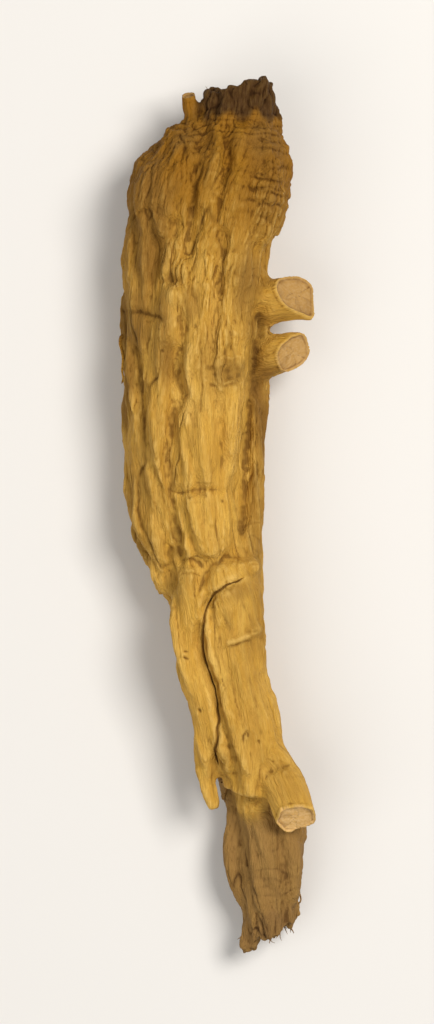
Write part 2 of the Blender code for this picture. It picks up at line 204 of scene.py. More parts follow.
def smoothed(values, edges, rounds):
    """The values after so many rounds of half a step to the neighbours' mean."""
    for _ in range(rounds):
        values = 0.5 * (values + neighbours_mean(values, edges))
    return values


def hollowness(points, normals, edges, rounds):
    """How far each point lies below the mean of the points round it."""
    return ((smoothed(points, edges, rounds) - points) * normals).sum(1)


def without_facets(points, edges):
    """Rounds off facets and keeps the size: a step in, then a slightly larger step out."""
    for _ in range(FACET_ROUNDS):
        for step in (ROUND_IN, ROUND_OUT):
            points = points + step * (neighbours_mean(points, edges) - points)
    return points


def bake_modifiers(obj):
    """Makes what the modifiers show the object's own mesh."""
    graph = bpy.context.evaluated_depsgraph_get()
    mesh = bpy.data.meshes.new_from_object(obj.evaluated_get(graph))
    obj.modifiers.clear()
    obj.data = mesh


def add_skin():
    """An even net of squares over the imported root, in the drawing's millimetres."""
    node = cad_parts["ginseng_root"]
    mesh = node.data.copy()
    mesh.name = "dried_skin"
    mesh.materials.clear()
    skin = add_object("dried_skin", mesh)
    sheet = bmesh.new()
    sheet.from_mesh(mesh)
    bmesh.ops.remove_doubles(sheet, verts=sheet.verts, dist=1e-6)
    sheet.to_mesh(mesh)
    sheet.free()
    write(mesh, read(mesh, "co") / MM + DRAWING_ZERO)
    net = skin.modifiers.new("net", "REMESH")
    net.mode = "VOXEL"
    net.voxel_size = NET
    bake_modifiers(skin)
    return skin


skin = add_skin()
edges = edges_of(skin.data)
write(skin.data, without_facets(read(skin.data, "co"), edges))
print("the skin has", len(skin.data.vertices), "points and", len(skin.data.polygons), "faces")

# %% Fill the deepest grooves a little
FILL, FILL_FROM, FILL_ROUNDS = 0.40, 0.20, 90

points = read(skin.data, "co")
normals = read(skin.data, "normal")
depth = hollowness(points, normals, edges, FILL_ROUNDS)
filled = points + normals * (FILL * np.maximum(0.0, depth - FILL_FROM))[:, None]
write(skin.data, smoothed(filled, edges, 1))
print("grooves up to %.2f mm deep filled by %.2f mm" % (depth.max(), FILL * (depth.max() - FILL_FROM)))

# %% [markdown]
# ## Lines that the folds follow
#
# The folds of a dried root run along whichever limb they are on: down the trunk, out along a
# side root, down each leg. So each limb has a line through its middle. A point of the skin is
# given its place on the limb that it is closest to: across the line, above it, and along it.
# Noise that is stretched along that third direction gives folds that turn with every limb.
# Texture coordinates could do the same, but a remeshed skin has none.

# %% Limb lines
# Each stop is x, y, z and the limb's half width there, in the drawing's millimetres.
LIMB_LINES = {
    "trunk": [(2.3, 56.0, 8.5, 4.0), (2.0, 50.0, 8.4, 6.0), (0.0, 43.5, 7.8, 9.0),
              (-2.2, 34.0, 7.3, 9.0), (-2.9, 20.0, 7.0, 9.0), (-2.8, 5.0, 6.8, 8.4),
              (-1.8, -5.0, 6.4, 7.0), (-0.4, -14.0, 5.8, 5.4), (1.4, -22.0, 4.9, 4.6),
              (4.4, -31.0, 4.5, 4.6), (6.0, -40.0, 4.4, 4.6), (6.6, -53.0, 4.4, 3.0)],
    "left_leg": [(-3.2, -3.0, 9.6, 1.9), (-3.8, -12.5, 10.1, 2.1), (-3.3, -18.0, 9.9, 2.1),
                 (-1.8, -25.0, 9.5, 1.8), (-0.7, -36.2, 8.6, 0.8)],
    "bridge": [(3.9, -5.3, 8.8, 1.4), (0.8, -5.8, 10.2, 1.5), (-0.8, -7.1, 10.4, 1.4),
               (-2.1, -9.3, 10.3, 1.4), (-3.0, -12.5, 10.1, 1.5)],
    "right_leg": [(0.9, -6.0, 8.6, 3.0), (1.6, -12.7, 9.2, 3.8), (2.6, -20.5, 8.9, 3.8),
                  (3.9, -28.0, 8.3, 3.8), (3.7, -34.4, 7.6, 3.1)],
    "leg_stump": [(5.6, -27.5, 8.8, 2.2), (7.3, -30.6, 9.4, 2.4), (10.2, -37.9, 10.9, 2.7)],
    "upper_stump": [(3.5, 27.5, 8.0, 3.2), (6.0, 28.0, 8.5, 2.9), (11.9, 28.8, 9.5, 2.9)],
    "lower_stump": [(3.5, 20.6, 7.4, 2.7), (6.0, 21.2, 8.0, 2.5), (11.3, 22.3, 9.0, 2.2)],
    "bud": [(-2.2, 48.6, 8.8, 1.3), (-3.3, 51.8, 9.4, 1.1), (-3.9, 54.6, 9.7, 0.9)],
}
LINE_STEP = 1.5
UP = (0.0, 0.0, 1.0)


def unit(way):
    """The same direction with a length of 1."""
    return way / np.linalg.norm(way)


def eased(stops):
    """The stops joined by one smooth curve, as closely spaced rows."""
    rows = np.array(stops, float)
    run = np.concatenate([[0.0], np.cumsum(np.linalg.norm(np.diff(rows[:, :3], axis=0), axis=1))])
    slope = np.gradient(rows, run, axis=0)
    at = np.linspace(0.0, run[-1], max(3, int(run[-1] / LINE_STEP)))
    i = np.clip(np.searchsorted(run, at, side="right") - 1, 0, len(run) - 2)
    gap = (run[i + 1] - run[i])[:, None]
    t = (at - run[i])[:, None] / gap
    start = (1 + 2 * t) * (1 - t) ** 2 * rows[i] + t * (1 - t) ** 2 * gap * slope[i]
    end = t * t * (3 - 2 * t) * rows[i + 1] + t * t * (t - 1) * gap * slope[i + 1]
    return start + end


def place_on_line(points, stops):
    """Across, above and along for each point, and how many half widths it is away."""
    rows = eased(stops)
    best = np.full(len(points), np.inf)
    place = np.zeros((len(points), 3))
    reach = np.zeros(len(points))
    run = 0.0
    for start, end in zip(rows[:-1], rows[1:]):
        a, b = start[:3], end[:3]
        ahead = unit(b - a)
        side = unit(np.cross(ahead, UP))
        up = np.cross(side, ahead)
        span = np.linalg.norm(b - a)
        along = np.clip((points - a) @ ahead, 0.0, span)
        off = points - a - along[:, None] * ahead
        gap = np.linalg.norm(off, axis=1)
        width = start[3] + (end[3] - start[3]) * along / span
        closer = gap < best
        best[closer] = gap[closer]
        beyond = (points - a) @ ahead
        local = np.column_stack([off @ side, off @ up, run + beyond])
        place[closer] = local[closer]
        reach[closer] = (gap / width)[closer]
        run += span
    return place, reach


LIMB_BORDER, FARTHEST, LEAST_NEARNESS = 4.5, 4.0, 1e-30

points = read(skin.data, "co")
places = {}
nearness = {}
for name, stops in LIMB_LINES.items():
    places[name], reach = place_on_line(points, stops)
    nearness[name] = np.exp(-LIMB_BORDER * np.minimum(reach, FARTHEST) ** 2) + LEAST_NEARNESS
total = sum(nearness.values())
shares = {name: value / total for name, value in nearness.items()}
for name, share in shares.items():
    print("%-12s carries %5.1f %% of the skin" % (name, 100 * share.mean()))


# %% One grain over all limbs
def joined_grain(places, shares):
    """The places of all limbs in one. Each limb is moved to run on from the limb that carries it."""
    names = iter(shares)
    first = next(names)
    grain, weight = places[first], shares[first]
    for name in names:
        shared = (weight * shares[name])[:, None]
        moved = places[name] + ((grain - places[name]) * shared).sum(0) / shared.sum()
        share = (shares[name] / (weight + shares[name]))[:, None]
        grain = (1.0 - share) * grain + share * moved
        weight = weight + shares[name]
    return grain


grain = joined_grain(places, shares)
print("the grain runs from %.0f to %.0f mm along the root" % (grain[:, 2].min(), grain[:, 2].max()))

# %% [markdown]
# ## Folds and cracks
#
# Dry skin folds like cloth: rounded crests with sharp valleys between them. Where noise crosses
# zero, its size has exactly such a valley, so the size of a stretched noise is the height of a
# fold. Four widths of fold are laid over each other, the widest like a match, the finest like
# a thread. Cracks are the same trick with a narrow valley and flat land between. They come in
# patches, along the limb and across it, and their depth also becomes a mask that paints them
# darker, as painted shade in the cracks. The head has shrunk both ways, so its skin is puckered
# into cells: there the creases follow the borders between the cells of Voronoi noise.

# %% Noise helpers
VALLEY_GAIN, VALLEY_ROUNDING, VALLEY_LEVEL = 2.3, 0.75, 0.6


def shifted(places, shift):
    """The places moved, so that every use of noise has a region of its own."""
    return (places + shift * np.array([1.0, 1.7, 2.3])).tolist()


def noise_at(places, shift):
    """Smooth noise, about -1 to 1, at every row of places."""
    return np.array([noise.noise(place) for place in shifted(places, shift)])


def stretched(places, width, run):
    """Places scaled so that noise on them is so wide across a limb and so long along it."""
    return places / (width, width, run)


def valleys(values):
    """0 in the sharp valleys and up to 1 on the crests."""
    return np.minimum(1.0, VALLEY_GAIN * np.abs(values)) ** VALLEY_ROUNDING


def bell(share):
    """1 at 0, falling softly to nothing past 1."""
    return np.exp(-(share**2))


def ramp(values, start, end):
    """0 at start and 1 at end, eased at both."""
    t = np.clip((values - start) / (end - start), 0.0, 1.0)
    return t * t * (3.0 - 2.0 * t)


def between(least, share):
    """Runs from the least value up to 1 as the share runs from 0 to 1."""
    return least + (1.0 - least) * share


def out_of_oval(points, x, y, half_width, half_height):
    """0 in the middle of an oval and 1 on its edge, seen from above."""
    return np.hypot((points[:, 0] - x) / half_width, (points[:, 1] - y) / half_height)


def cell_borders(places, shift):
    """0 on the border between two cells of Voronoi noise, and more towards their middles."""
    nearest = np.array([noise.voronoi(place)[0][:2] for place in shifted(places, shift)])
    return nearest[:, 1] - nearest[:, 0]


# %% Folds
SEED = 31.0
# Depth, width from fold to fold and run along the limb, in millimetres.
FOLDS = [(0.16, 2.3, 12.0), (0.16, 1.25, 6.5), (0.13, 0.75, 3.6), (0.08, 0.45, 2.0)]
# How far, how wide and how long the folds sway: a slow bend and a quick waver.
SWAYS = [(0.9, 6.0, 12.0), (0.30, 1.6, 2.4)]
PATCH_WIDTH, PATCH_RUN, PATCH_GAIN = 5.0, 9.0, 3.0
# Folds are this strong between patches, and this much stronger on them.
FOLD_LEAST, FOLD_MORE = 0.6, 0.6
LONG_DEPTH, LONG_WIDTH, LONG_RUN, LONG_LINE = 0.16, 2.4, 14.0, 0.050
CROSS_DEPTH, CROSS_WIDTH, CROSS_RUN, CROSS_LINE = 0.05, 3.4, 1.5, 0.09
# How much darker the cracks along and across the limb are painted: painted shade in the cracks.
LONG_DARK, CROSS_DARK = 0.5, 0.25
CROSS_SAG, CROSS_SAG_SIZE = 0.8, 2.2
GRITS = [(0.07, 1.6), (0.03, 0.6)]
PUCKER_DEPTH, PUCKER_WIDTH, PUCKER_RUN, PUCKER_LINE, PUCKER_DARK = 0.15, 1.6, 4.2, 0.14, 0.14


def patches(places, shift, level=0.0):
    """0 to 1, in soft patches."""
    cloud = noise_at(stretched(places, PATCH_WIDTH, PATCH_RUN), shift)
    return np.clip(PATCH_GAIN * (cloud - level), 0.0, 1.0)


def swayed(places, seed):
    """The places moved a little sideways, so that no fold runs straight."""
    for strength, width, run in SWAYS:
        bend = stretched(places, width, run)
        aside = np.column_stack([noise_at(bend, seed), noise_at(bend, seed + 9.0), np.zeros(len(places))])
        places = places + strength * aside
    return places


def cracks_on(places, seed):
    """Where cracks run along a limb, and where they cross it."""
    line = noise_at(stretched(places, LONG_WIDTH, LONG_RUN), seed + 21.0)
    along = bell(line / LONG_LINE) * patches(places, seed + 24.0, -0.05)
    sag = CROSS_SAG * noise_at(places / CROSS_SAG_SIZE, seed + 26.0)
    sagging = places + sag[:, None] * (0.0, 0.0, 1.0)
    line = noise_at(stretched(sagging, CROSS_WIDTH, CROSS_RUN), seed + 27.0)
    across = bell(line / CROSS_LINE) * patches(places, seed + 30.0, 0.12)
    return along, across


def folds_on(places, seed):
    """The height of the folds on one limb, and how cracked each place is."""
    places = swayed(places, seed)
    strong = FOLD_LEAST + FOLD_MORE * patches(places, seed + 3.0)
    height = sum(depth * noise_at(places / size, seed + 33.0) for depth, size in GRITS)
    for i, (depth, width, run) in enumerate(FOLDS):
        fold = noise_at(stretched(places, width, run), seed + 5.0 * i)
        height += strong * depth * (valleys(fold) - VALLEY_LEVEL)
    along, across = cracks_on(places, seed)
    height -= LONG_DEPTH * along + CROSS_DEPTH * across
    return height, np.maximum(LONG_DARK * along, CROSS_DARK * across)


def puckers_on(places, seed):
    """How deep each place lies in the creases between the cells of puckered skin."""
    cells = stretched(swayed(places, seed), PUCKER_WIDTH, PUCKER_RUN)
    return bell(cell_borders(cells, seed) / PUCKER_LINE)


# %% Lay the folds on every limb
LIMB_SCALE = {"trunk": 1.0, "left_leg": 0.5, "bridge": 0.35, "right_leg": 0.7, "leg_stump": 0.45,
              "upper_stump": 0.5, "lower_stump": 0.45, "bud": 0.3}
LEAST_SHARE = 0.02
CRACK_GAIN = 1.3

height = np.zeros(len(points))
crack_and_shade = np.zeros(len(points))
for i, (name, share) in enumerate(shares.items()):
    near = np.nonzero(share > LEAST_SHARE)[0]
    folds, cracks = folds_on(places[name][near], SEED + 50.0 * i)
    height[near] += share[near] * LIMB_SCALE[name] * folds
    crack_and_shade[near] += share[near] * min(1.0, CRACK_GAIN * LIMB_SCALE[name]) * cracks
print("folds from %.2f to %.2f mm" % (height.min(), height.max()))

# %% Pucker the head, calm the smooth places
HEAD_START, HEAD_FULL = 26.0, 42.0
BODY_PUCKER = 0.25
PUCKER_PATCH, PUCKER_LEAST = 2.2, 0.35
# The middle, half width, half height and strength of each: the broad band down the body, the strand
# that crosses to the left leg, and the right leg.
CALM_PLACES = [(-0.8, 7.0, 3.8, 13.0, 0.65), (-0.8, -5.8, 4.5, 2.4, 0.60), (2.8, -18.0, 3.6, 9.0, 0.40)]

normals = read(skin.data, "normal")
front = np.clip(normals[:, 2] * 2.0, 0.0, 1.0)
for *oval, strength in CALM_PLACES:
    calm = front * bell(out_of_oval(points, *oval))
    height *= 1.0 - strength * calm
    crack_and_shade *= 1.0 - strength * calm
puckered = BODY_PUCKER * patches(grain, SEED + 14.0) + ramp(points[:, 1], HEAD_START, HEAD_FULL)
pucker = np.minimum(puckered, 1.0) * puckers_on(grain, SEED + 15.0)
pucker *= between(PUCKER_LEAST, ramp(noise_at(points / PUCKER_PATCH, SEED + 16.0), -0.25, 0.25))
height -= PUCKER_DEPTH * pucker
# The creases between the cells are painted darker too, as painted shade.
crack_and_shade = np.maximum(crack_and_shade, PUCKER_DARK * pucker)
print("puckers on %.0f %% of the skin" % (100 * (pucker > 0.3).mean()))

# %% [markdown]
# ## What this root has of its own
#
# Folds alone would fit any root. This one is known by its marks: the close rings on its right
# shoulder, the round scar of a lost side root with dark specks in it, a raised tongue of skin
# beside it, a ring that nearly goes round the body, the crease where the legs part, and small
# scars on the legs. Each is a line or an oval, seen from above, and only the side that faces up
# takes it. The deep creases are in the imported solid already; here they get their sharp bottoms,
# painted darker as painted shade, and raised lines are painted paler as painted highlight.

# %% Creases and ridges of the front
# Where the legs part: the valley is partly filled, and a thin line of painted shade is drawn in its bottom.
PARTING = [(3.2, -6.7), (0.9, -7.6), (-0.4, -8.5), (-1.4, -10.3), (-1.9, -12.8), (-1.9, -14.4),
           (-1.6, -16.5), (-0.8, -18.9), (-0.4, -21.3), (0.05, -22.7), (-0.15, -25.2), (-0.2, -28.3),
           (0.0, -30.5)]
PARTING_FILL, PARTING_HALF_WIDTH = 0.50, 0.85
PARTING_CUT, PARTING_CUT_HALF_WIDTH, PARTING_DARK = 0.42, 0.24, 0.85
# Height, darkness, half width, and the stops of the line, in the drawing's millimetres. The
# darkness is painted shade in the creases; a raised line is painted paler, as painted highlight.
LINES = [
    (-0.22, 0.37, 0.35, [(-0.9, 49.6), (-1.25, 48.7), (-2.5, 45.6), (-3.3, 44.0), (-3.1, 40.9),
                         (-3.8, 35.0)]),
    (-0.22, 0.37, 0.32, [(1.0, 49.6), (1.25, 46.5), (1.2, 44.7), (0.5, 42.0), (-0.2, 38.0), (0.5, 33.0),
                         (0.2, 28.5)]),
    (0.20, 0.00, 0.55, [(0.0, 50.3), (0.0, 47.8), (0.3, 45.0), (-0.6, 42.5), (-0.9, 40.0)]),
    (0.20, 0.00, 0.55, [(2.5, 50.0), (2.8, 47.5), (2.5, 44.7), (2.2, 41.9), (1.8, 39.0)]),
    (-0.18, 0.47, 0.20, [(3.6, 47.2), (5.6, 47.5), (7.8, 47.0)]),
    (-0.20, 0.52, 0.20, [(3.6, 43.6), (6.0, 43.3), (8.4, 43.0)]),
    (-0.16, 0.42, 0.18, [(4.0, 42.0), (6.2, 42.3), (8.6, 41.7)]),
    (-0.09, 0.15, 0.22, [(-10.6, 39.2), (-8.4, 39.4), (-6.6, 38.7)]),
    (-0.22, 0.37, 0.28, [(-7.5, 30.2), (-6.3, 30.9), (-4.8, 30.4)]),
    (0.26, 0.00, 0.75, [(-6.0, 29.8), (-5.9, 27.4), (-6.0, 24.4)]),
    (-0.17, 0.29, 0.28, [(-3.9, 30.6), (-4.1, 27.0), (-4.0, 23.4)]),
    (-0.17, 0.29, 0.25, [(-11.5, 26.8), (-8.8, 26.6), (-6.6, 25.4)]),
    (-0.20, 0.52, 0.18, [(-7.1, 22.9), (-6.2, 22.7)]),
    (-0.20, 0.52, 0.18, [(-7.4, 22.0), (-6.6, 21.8)]),
    (-0.27, 0.24, 0.42, [(-5.4, 29.0), (-4.6, 24.5), (-5.2, 18.7), (-4.2, 16.1), (-5.6, 14.3),
                         (-5.9, 11.6), (-6.4, 8.7), (-6.5, 5.2), (-5.9, 2.8), (-5.4, -0.4), (-4.8, -4.2)]),
    (-0.24, 0.40, 0.28, [(-10.2, 21.0), (-9.4, 14.0), (-9.5, 8.1), (-10.1, 5.2), (-10.1, 2.2), (-9.5, -0.7),
                         (-8.9, -1.9)]),
    (-0.36, 0.42, 0.40, [(5.1, 27.0), (4.6, 23.1), (4.35, 17.5), (3.8, 12.2), (3.3, 7.5), (3.2, 3.4),
                         (2.7, -3.6)]),
    (0.18, 0.00, 0.60, [(-3.6, 23.2), (-3.8, 20.0), (-3.6, 16.8), (-3.9, 12.0)]),
    (-0.14, 0.24, 0.22, [(-2.3, 23.5), (-2.0, 18.5), (-2.3, 13.5)]),
    (-0.12, 0.20, 0.28, [(-1.5, 17.7), (1.1, 17.3), (2.9, 18.0)]),
    (-0.15, 0.39, 0.20, [(0.0, 11.4), (0.5, 8.7), (0.4, 6.4)]),
    (-0.18, 0.47, 0.20, [(-6.4, 4.5), (-4.5, 4.1), (-2.2, 4.4), (0.0, 4.3)]),
    (-0.14, 0.36, 0.18, [(-3.3, 5.4), (-1.7, 5.2), (-0.3, 5.4)]),
    (-0.26, 0.40, 0.28, [(3.0, -4.0), (0.9, -4.1), (-0.8, -5.0), (-1.6, -6.1), (-2.2, -7.6), (-2.7, -8.8)]),
    (-0.24, 0.40, 0.25, [(-4.9, -4.6), (-4.0, -4.4), (-3.2, -4.4), (-2.3, -5.0), (-1.7, -5.7)]),
    (-0.22, 0.37, 0.22, [(-4.5, -4.9), (-4.4, -5.9), (-3.2, -6.2), (-2.2, -6.4)]),
    (0.15, 0.00, 0.35, [(2.9, -6.1), (1.7, -6.4), (0.4, -6.9)]),
    (0.20, 0.00, 0.32, [(0.9, -14.8), (1.5, -14.7), (2.8, -14.4), (4.6, -13.7)]),
    (-0.12, 0.31, 0.20, [(0.6, -15.4), (2.2, -15.1), (4.2, -14.4)]),
    (-0.20, 0.34, 0.22, [(4.5, -13.6), (5.0, -13.3), (5.5, -13.2)]),
    (-0.12, 0.20, 0.22, [(2.6, -8.0), (3.2, -10.0), (3.9, -11.8), (4.9, -13.3)]),
    # A painted shadow beside the left leg.
    (-0.10, 0.17, 0.25, [(0.1, -13.5), (0.0, -16.0), (0.2, -18.0)]),
    (-0.10, 0.17, 0.22, [(3.8, -18.5), (4.3, -21.0), (4.8, -24.0), (5.6, -27.0)]),
    (-0.15, 0.26, 0.22, [(0.2, -27.5), (1.4, -27.9), (2.5, -28.0)]),
    (-0.26, 0.40, 0.28, [(9.2, -30.2), (7.7, -30.5), (6.5, -31.1), (5.6, -32.2)]),
    (-0.24, 0.62, 0.20, [(-4.4, -16.7), (-3.6, -17.0)]),
    (-0.16, 0.42, 0.18, [(-4.3, -16.0), (-3.7, -16.0)]),
    (-0.24, 0.62, 0.20, [(-2.7, -23.1), (-2.0, -23.4)]),
    (-0.24, 0.62, 0.18, [(4.3, -26.0), (3.6, -25.7), (3.05, -26.4), (2.95, -27.4)]),
    (-0.22, 0.57, 0.18, [(3.75, -25.8), (3.65, -26.7)]),
    (-0.14, 0.36, 0.18, [(5.0, -27.0), (5.2, -27.6)]),
]


def gap_to_line(flat_points, line):
    """How far each point lies from a row of joined stops, seen from above, and from the row's end."""
    nearest = np.full(len(flat_points), np.inf)
    run = np.zeros(len(flat_points))
    done = 0.0
    for a, b in zip(np.array(line[:-1]), np.array(line[1:])):
        span = np.linalg.norm(b - a)
        share = np.clip((flat_points - a) @ (b - a) / span**2, 0.0, 1.0)
        gap = np.linalg.norm(flat_points - a - share[:, None] * (b - a), axis=1)
        closer = gap < nearest
        nearest[closer] = gap[closer]
        run[closer] = done + span * share[closer]
        done += span
    return nearest, np.minimum(run, done - run)


def drawn_line(flat_points, line, half_width):
    """1 on a line, nothing beside it. The line thins out towards both of its ends."""
    gap, end = gap_to_line(flat_points, line)
    full = ramp(end, -0.5 * half_width, min(LINE_TAPER, 0.7 * end.max()))
    return full * bell(gap / (half_width * between(LINE_THIN, full)))


WAVER, WAVER_SIZE = 0.32, 1.9
LINE_TAPER, LINE_THIN = 0.9, 0.45
# Lines fade in and out along the way: the size of a stretch, the least strength, what is added to the
# seed, and the noise at which a line is faintest and full.
FADES = [(2.8, 0.50, 3.0, -0.30, 0.15), (0.8, 0.80, 13.0, -0.25, 0.25)]

fade = np.ones(len(points))
for size, least, shift, faint, full in FADES:
    fade *= between(least, ramp(noise_at(points / size, SEED + shift), faint, full))
waver = np.column_stack([noise_at(points / WAVER_SIZE, SEED + shift) for shift in (1.0, 2.0)])
wavering = points[:, :2] + WAVER * waver
ridge_highlight = np.zeros(len(points))
height += PARTING_FILL * front * bell(gap_to_line(wavering, PARTING)[0] / PARTING_HALF_WIDTH)
mark = front * drawn_line(wavering, PARTING, PARTING_CUT_HALF_WIDTH)
height -= PARTING_CUT * mark
crack_and_shade = np.maximum(crack_and_shade, PARTING_DARK * mark)
for rise, dark, half_width, line in LINES:
    mark = fade * front * drawn_line(wavering, line, half_width)
    height += rise * mark
    crack_and_shade = np.maximum(crack_and_shade, dark * mark)
    if rise > 0.0:
        ridge_highlight = np.maximum(ridge_highlight, mark)
print(len(LINES), "creases and ridges")

# %% Scars of lost side roots
# The middle, half width and half height of each scar, in the drawing's millimetres.
SCARS = [(1.3, 19.1, 2.8, 1.7)]
SPECKS = [(3.4, 20.0, 0.42), (2.4, 19.6, 0.34), (1.1, 19.4, 0.45), (0.2, 19.9, 0.26), (2.6, 18.8, 0.36),
          (1.5, 18.4, 0.34), (-0.5, 18.9, 0.22), (-1.7, 3.6, 0.22), (0.5, 3.0, 0.20), (-3.7, 3.4, 0.22),
          (-4.7, -16.8, 0.22), (-9.6, 46.2, 0.3)]
SCAR_RIM, SCAR_PIT, SCAR_DARK = 0.07, 0.04, 0.18
SCAR_RIPPLE, SCAR_RIPPLE_PITCH = 0.025, 0.5
SCAR_RAGGED, SCAR_RAGGED_SIZE = 0.55, 1.1
SPECK_PIT, SPECK_DARK = 0.09, 0.5

ragged = SCAR_RAGGED * noise_at(points / SCAR_RAGGED_SIZE, SEED + 11.0)
for x, y, half_width, half_height in SCARS:
    out = out_of_oval(wavering, x, y, half_width, half_height) + ragged
    ripple = np.cos(2.0 * math.pi * (out - 1.0) / SCAR_RIPPLE_PITCH) * bell((out - 1.1) / 0.6)
    height += front * (SCAR_RIM * bell((out - 1.0) / 0.3) - SCAR_PIT * bell(out / 0.65))
    height += front * SCAR_RIPPLE * min(1.0, half_height) * ripple
    crack_and_shade = np.maximum(crack_and_shade, SCAR_DARK * front * bell((out - 0.6) / 0.30))
for x, y, size in SPECKS:
    mark = front * bell(np.hypot(wavering[:, 0] - x, wavering[:, 1] - y) / size + ragged)
    height -= SPECK_PIT * mark
    crack_and_shade = np.maximum(crack_and_shade, SPECK_DARK * mark)
print(len(SCARS), "scars and", len(SPECKS), "specks")

# %% Stains and painted shadows
# The middle, half width, half height and strength of each brown patch, in the drawing's millimetres.
# Each patch is partly brown skin and partly painted shadow.
STAINS_AND_SHADOWS = [(-9.0, 38.0, 3.0, 8.0, 0.85), (-10.2, 25.5, 3.0, 4.5, 0.90), (-11.6, 17.5, 1.5, 5.0, 0.90),
          (-9.8, 3.0, 1.9, 9.0, 0.50), (-7.3, 8.0, 1.2, 8.0, 0.26), (-5.6, 31.0, 1.5, 1.2, 0.55),
          (-6.9, 23.0, 1.1, 4.0, 0.82), (-2.0, 21.5, 1.6, 4.0, 0.42), (3.5, 30.0, 1.9, 3.6, 0.82),
          (-3.2, 28.0, 1.3, 2.2, 0.50), (1.3, 19.2, 2.5, 1.5, 0.55), (-0.6, 19.8, 1.8, 2.4, 0.42),
          (4.9, 25.0, 1.4, 2.4, 0.65), (5.0, 20.5, 0.8, 3.0, 0.80), (5.8, 12.0, 1.6, 8.0, 1.0),
          (5.4, 0.0, 1.4, 6.0, 0.60), (6.8, 41.0, 2.5, 5.5, 0.55), (-3.6, 48.4, 2.4, 1.8, 0.80),
          (-1.8, 44.2, 1.8, 1.6, 0.30), (5.8, 48.4, 2.8, 2.0, 0.85), (-7.4, -3.5, 1.5, 2.4, 0.25),
          (2.8, -8.4, 1.8, 1.1, 0.55), (-5.0, -8.0, 1.2, 2.0, 0.30), (5.0, -11.5, 1.5, 5.0, 0.52),
          (3.0, -22.0, 3.0, 8.0, 0.24), (-0.6, -31.5, 1.2, 1.6, 0.40), (3.6, -26.6, 0.9, 1.0, 0.40),
          (8.6, 28.2, 2.6, 2.6, 0.32), (8.2, 21.5, 2.6, 2.6, 0.35), (8.2, -32.5, 2.6, 3.6, 0.32),
          (6.6, -51.8, 3.2, 2.0, 0.85)]
DARK_PATCH_CORE = 0.30
DARK_PATCH_RAGGED, DARK_PATCH_WIDTH, DARK_PATCH_RUN = 0.9, 2.2, 5.0
# Sides and back are painted a little browner than the side that faces up: partly painted shade,
# partly skin that stayed browner in the dark.
SIDE_SHADE_AND_STAIN = 0.22

ragged = DARK_PATCH_RAGGED * noise_at(stretched(grain, DARK_PATCH_WIDTH, DARK_PATCH_RUN), SEED + 12.0)
stain_and_shadow = SIDE_SHADE_AND_STAIN * (1.0 - ramp(normals[:, 2], -0.2, 0.7))
for *oval, strength in STAINS_AND_SHADOWS:
    out = out_of_oval(points, *oval) + ragged
    patch = np.clip(normals[:, 2] + 0.6, 0.0, 1.0) * bell(np.maximum(out - DARK_PATCH_CORE, 0.0))
    stain_and_shadow = np.maximum(stain_and_shadow, strength * patch)
print(len(STAINS_AND_SHADOWS), "stains over %.0f %% of the skin" % (100 * (stain_and_shadow > 0.3).mean()))

# %% Growth rings
RING_PITCH, RING_DEPTH, RING_DARK, RING_TILT = 1.75, 0.10, 0.50, 0.25
RING_SWAYS = [(0.8, 3.4), (0.30, 1.1)]
SHOULDER, SHOULDER_REACH, SHOULDER_PATCH = (6.4, 42.3), (4.2, 6.4), (2.2, 1.4, 2.2)
CROWN_RING_PITCH, CROWN_RING_DEPTH, CROWN_RING_DARK = 0.95, 0.07, 0.30
CROWN_SWAY, CROWN_SWAY_SIZE = 0.9, 3.0
# Where the crown's rings fade in and where they end at the neck.
CROWN_START, CROWN_END, CROWN_PATCH = (45.5, 49.5), (52.6, 50.8), (3.0, 1.2, 3.0)


def ring_wave(turn, pitch):
    """A wave with one crest to a ring, and the sharp grooves between the rings."""
    wave = np.sin(2.0 * math.pi * turn / pitch)
    return wave, np.clip(-wave, 0.0, 1.0) ** 3


turn = points[:, 1] + RING_TILT * points[:, 0]
turn += sum(sway * noise_at(points / size, SEED + 4.0) for sway, size in RING_SWAYS)
wave, groove = ring_wave(turn, RING_PITCH)
shoulder = bell(np.hypot(*((points[:, :2] - SHOULDER) / SHOULDER_REACH).T))
shoulder *= ramp(noise_at(points / SHOULDER_PATCH, SEED + 6.0), -0.35, 0.25)
height += RING_DEPTH * shoulder * (0.5 * wave - 1.2 * groove)
# The grooves between the rings are painted darker, as painted shade in them.
crack_and_shade = np.maximum(crack_and_shade, RING_DARK * shoulder * groove)

crown = ramp(points[:, 1], *CROWN_START) * ramp(points[:, 1], *CROWN_END) * shares["trunk"]
crown *= ramp(noise_at(points / CROWN_PATCH, SEED + 7.0), -0.45, 0.20)
turn = points[:, 1] + CROWN_SWAY * noise_at(points / CROWN_SWAY_SIZE, SEED + 5.0)
wave, groove = ring_wave(turn, CROWN_RING_PITCH)
height += CROWN_RING_DEPTH * crown * (0.5 * wave - groove)
# Here too the grooves are painted darker, as painted shade.
crack_and_shade = np.maximum(crack_and_shade, CROWN_RING_DARK * crown * groove)
print("rings on the shoulder and round the crown")

# %% [markdown]
# ## Cut ends and the broken neck
#
# Three side roots were cut off with a knife before drying. A cut face is flat when it is made,
# and then its middle sinks, its rim stays up, and a few cracks open from the middle outwards. A
# thin darker line runs just inside the rim, where the bark ends. The solid has the cuts. Their
# faces are found again by the way they look, flattened so that their rims are crisp, and then
# dished and cracked. The neck, where the stem came off, is the reverse of a cut: a torn brown
# crater, rough all over.

